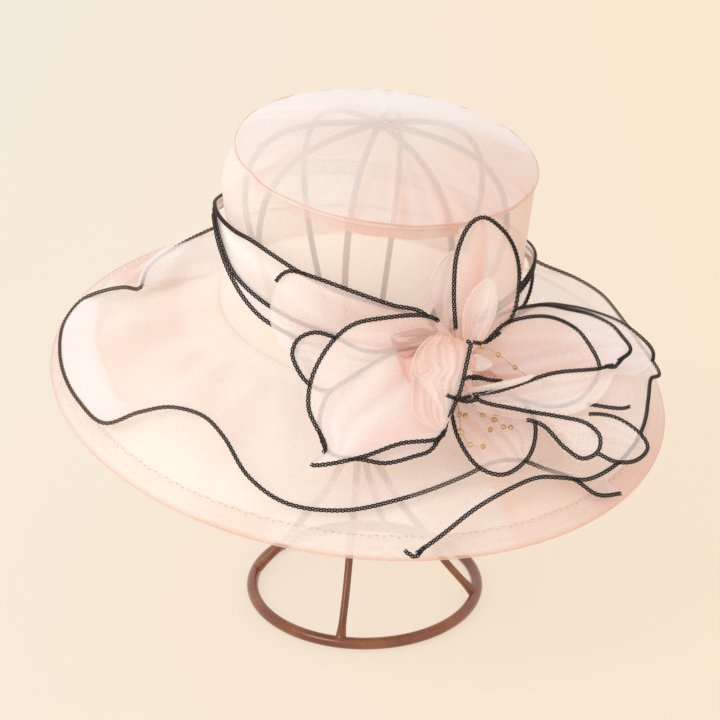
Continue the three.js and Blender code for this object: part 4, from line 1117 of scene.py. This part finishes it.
def floor():
    mesh = bpy.data.meshes.new("floor")
    corners = [(-6, -6, 0), (6, -6, 0), (6, 6, 0), (-6, 6, 0)]
    mesh.from_pydata(corners, [], [(0, 1, 2, 3)])
    made = bpy.data.objects.new("floor", mesh)
    bpy.context.scene.collection.objects.link(made)
    material, shader = new_material("floor")
    g = Graph(material)
    across = g.remap(g.axis(g.place(), "X"), -0.4, 0.4, 0.0, 1.0)
    paper = g.mix(across, colour(245, 235, 220), colour(250, 231, 207))
    lit = g.node("ShaderNodeMix", data_type="RGBA", blend_type="MULTIPLY")
    lit.inputs["Factor"].default_value = 1.0
    g.put(lit.inputs[6], paper)
    lit.inputs[7].default_value = (0.3, 0.3, 0.3, 1)
    g.put(shader.inputs["Base Color"], lit.outputs[2])
    g.put(shader.inputs["Emission Color"], paper)
    shader.inputs["Emission Strength"].default_value = 0.72
    shader.inputs["Roughness"].default_value = 0.9
    shader.inputs["Specular IOR Level"].default_value = 0.05
    mesh.materials.append(material)


def area_light(name, place, aim, size, power, tint):
    data = bpy.data.lights.new(name, "AREA")
    data.shape = "DISK"
    data.size = size
    data.energy = power
    data.color = tint
    made = bpy.data.objects.new(name, data)
    made.location = place
    direction = np.array(aim) - np.array(place)
    flat = math.hypot(direction[0], direction[1])
    heading = math.atan2(direction[1], direction[0]) - math.pi / 2
    made.rotation_euler = (math.atan2(flat, -direction[2]), 0, heading)
    bpy.context.scene.collection.objects.link(made)


def light():
    world = bpy.data.worlds.new("world")
    world.use_nodes = True
    background = world.node_tree.nodes["Background"]
    background.inputs["Color"].default_value = (1.0, 0.985, 0.97, 1)
    background.inputs["Strength"].default_value = 0.85
    bpy.context.scene.world = world
    area_light("key", (-1.3, -1.3, 1.5), (0, 0, 0.15), 1.2, 12, (1, 0.99, 0.99))
    scene = bpy.context.scene
    scene.view_settings.view_transform = "Standard"
    scene.view_settings.look = "None"
    scene.cycles.transparent_max_bounces = 48
    scene.cycles.max_bounces = 12


camera()
floor()
light()

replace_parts(stand(), "stand")
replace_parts(crown_tip(), "crown_tip")
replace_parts(crown_side(), "crown_side")
seam_band()
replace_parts(piping(), "tip_piping")
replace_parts(brim(), "brim")
brim_facing()
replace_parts(binding(), "brim_binding")
stitches()
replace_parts(ruffle(), "ruffle")
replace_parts(ruffle_cord(), "ruffle_cord")
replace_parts(sash(), "sash")
for edge, column in (("upper", 1), ("middle", 2), ("lower", 3)):
    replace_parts(sash_cord(f"sash_cord_{edge}_braid", column), f"sash_cord_{edge}")
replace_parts(flower_knot(), "flower_knot")
for number, (petal, (tip, cords, cup, rows)) in enumerate(PETALS.items()):
    shades = PETAL_SHADES.get(petal, PLAIN)
    pleated = 0.1 if petal in ("right_far", "right_tail") else 0.42
    cloth = petal_sheet(f"petal_{petal}_cloth", tip, cup, rows, 100 + number, shades, pleated)
    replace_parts(cloth, f"petal_{petal}")
    for k, (first, final) in enumerate(cords, 1):
        braid = petal_cord(f"petal_{petal}_braid_{k}", rows, first, final)
        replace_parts(braid, f"petal_{petal}_cord_{k}")
    if not cords:
        petal_hem(f"petal_{petal}_hem", rows)
for name, (tip, cup, gather, veil, rows) in FOLDS.items():
    petal_sheet(f"fold_{name}_cloth", tip, cup, rows, len(name), (gather, veil, 0.5, 0.0), 0.15)
    if name != "warm":
        petal_hem(f"fold_{name}_hem", rows)
for name, (tip, cup, gather, veil, rows) in FOLD_SHADES.items():
    shades = (gather, veil, 0.5, 0.0)
    petal_sheet(f"shade_{name}_cloth", tip, cup, rows, len(name), shades, 0.3, "shade_organza")
for name, rows in HEART_CORDS.items():
    petal_cord(f"heart_{name}_braid", rows, 0, len(rows) - 1)
for fold in RUFFLE_FOLDS:
    ruffle_fold(*fold)
for number, (rows, loose) in enumerate(zip(STAMENS, LOOSE_PEARLS), 1):
    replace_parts(stamen(f"pearl_stamen_{number}_beads", rows, loose), f"pearl_stamen_{number}")
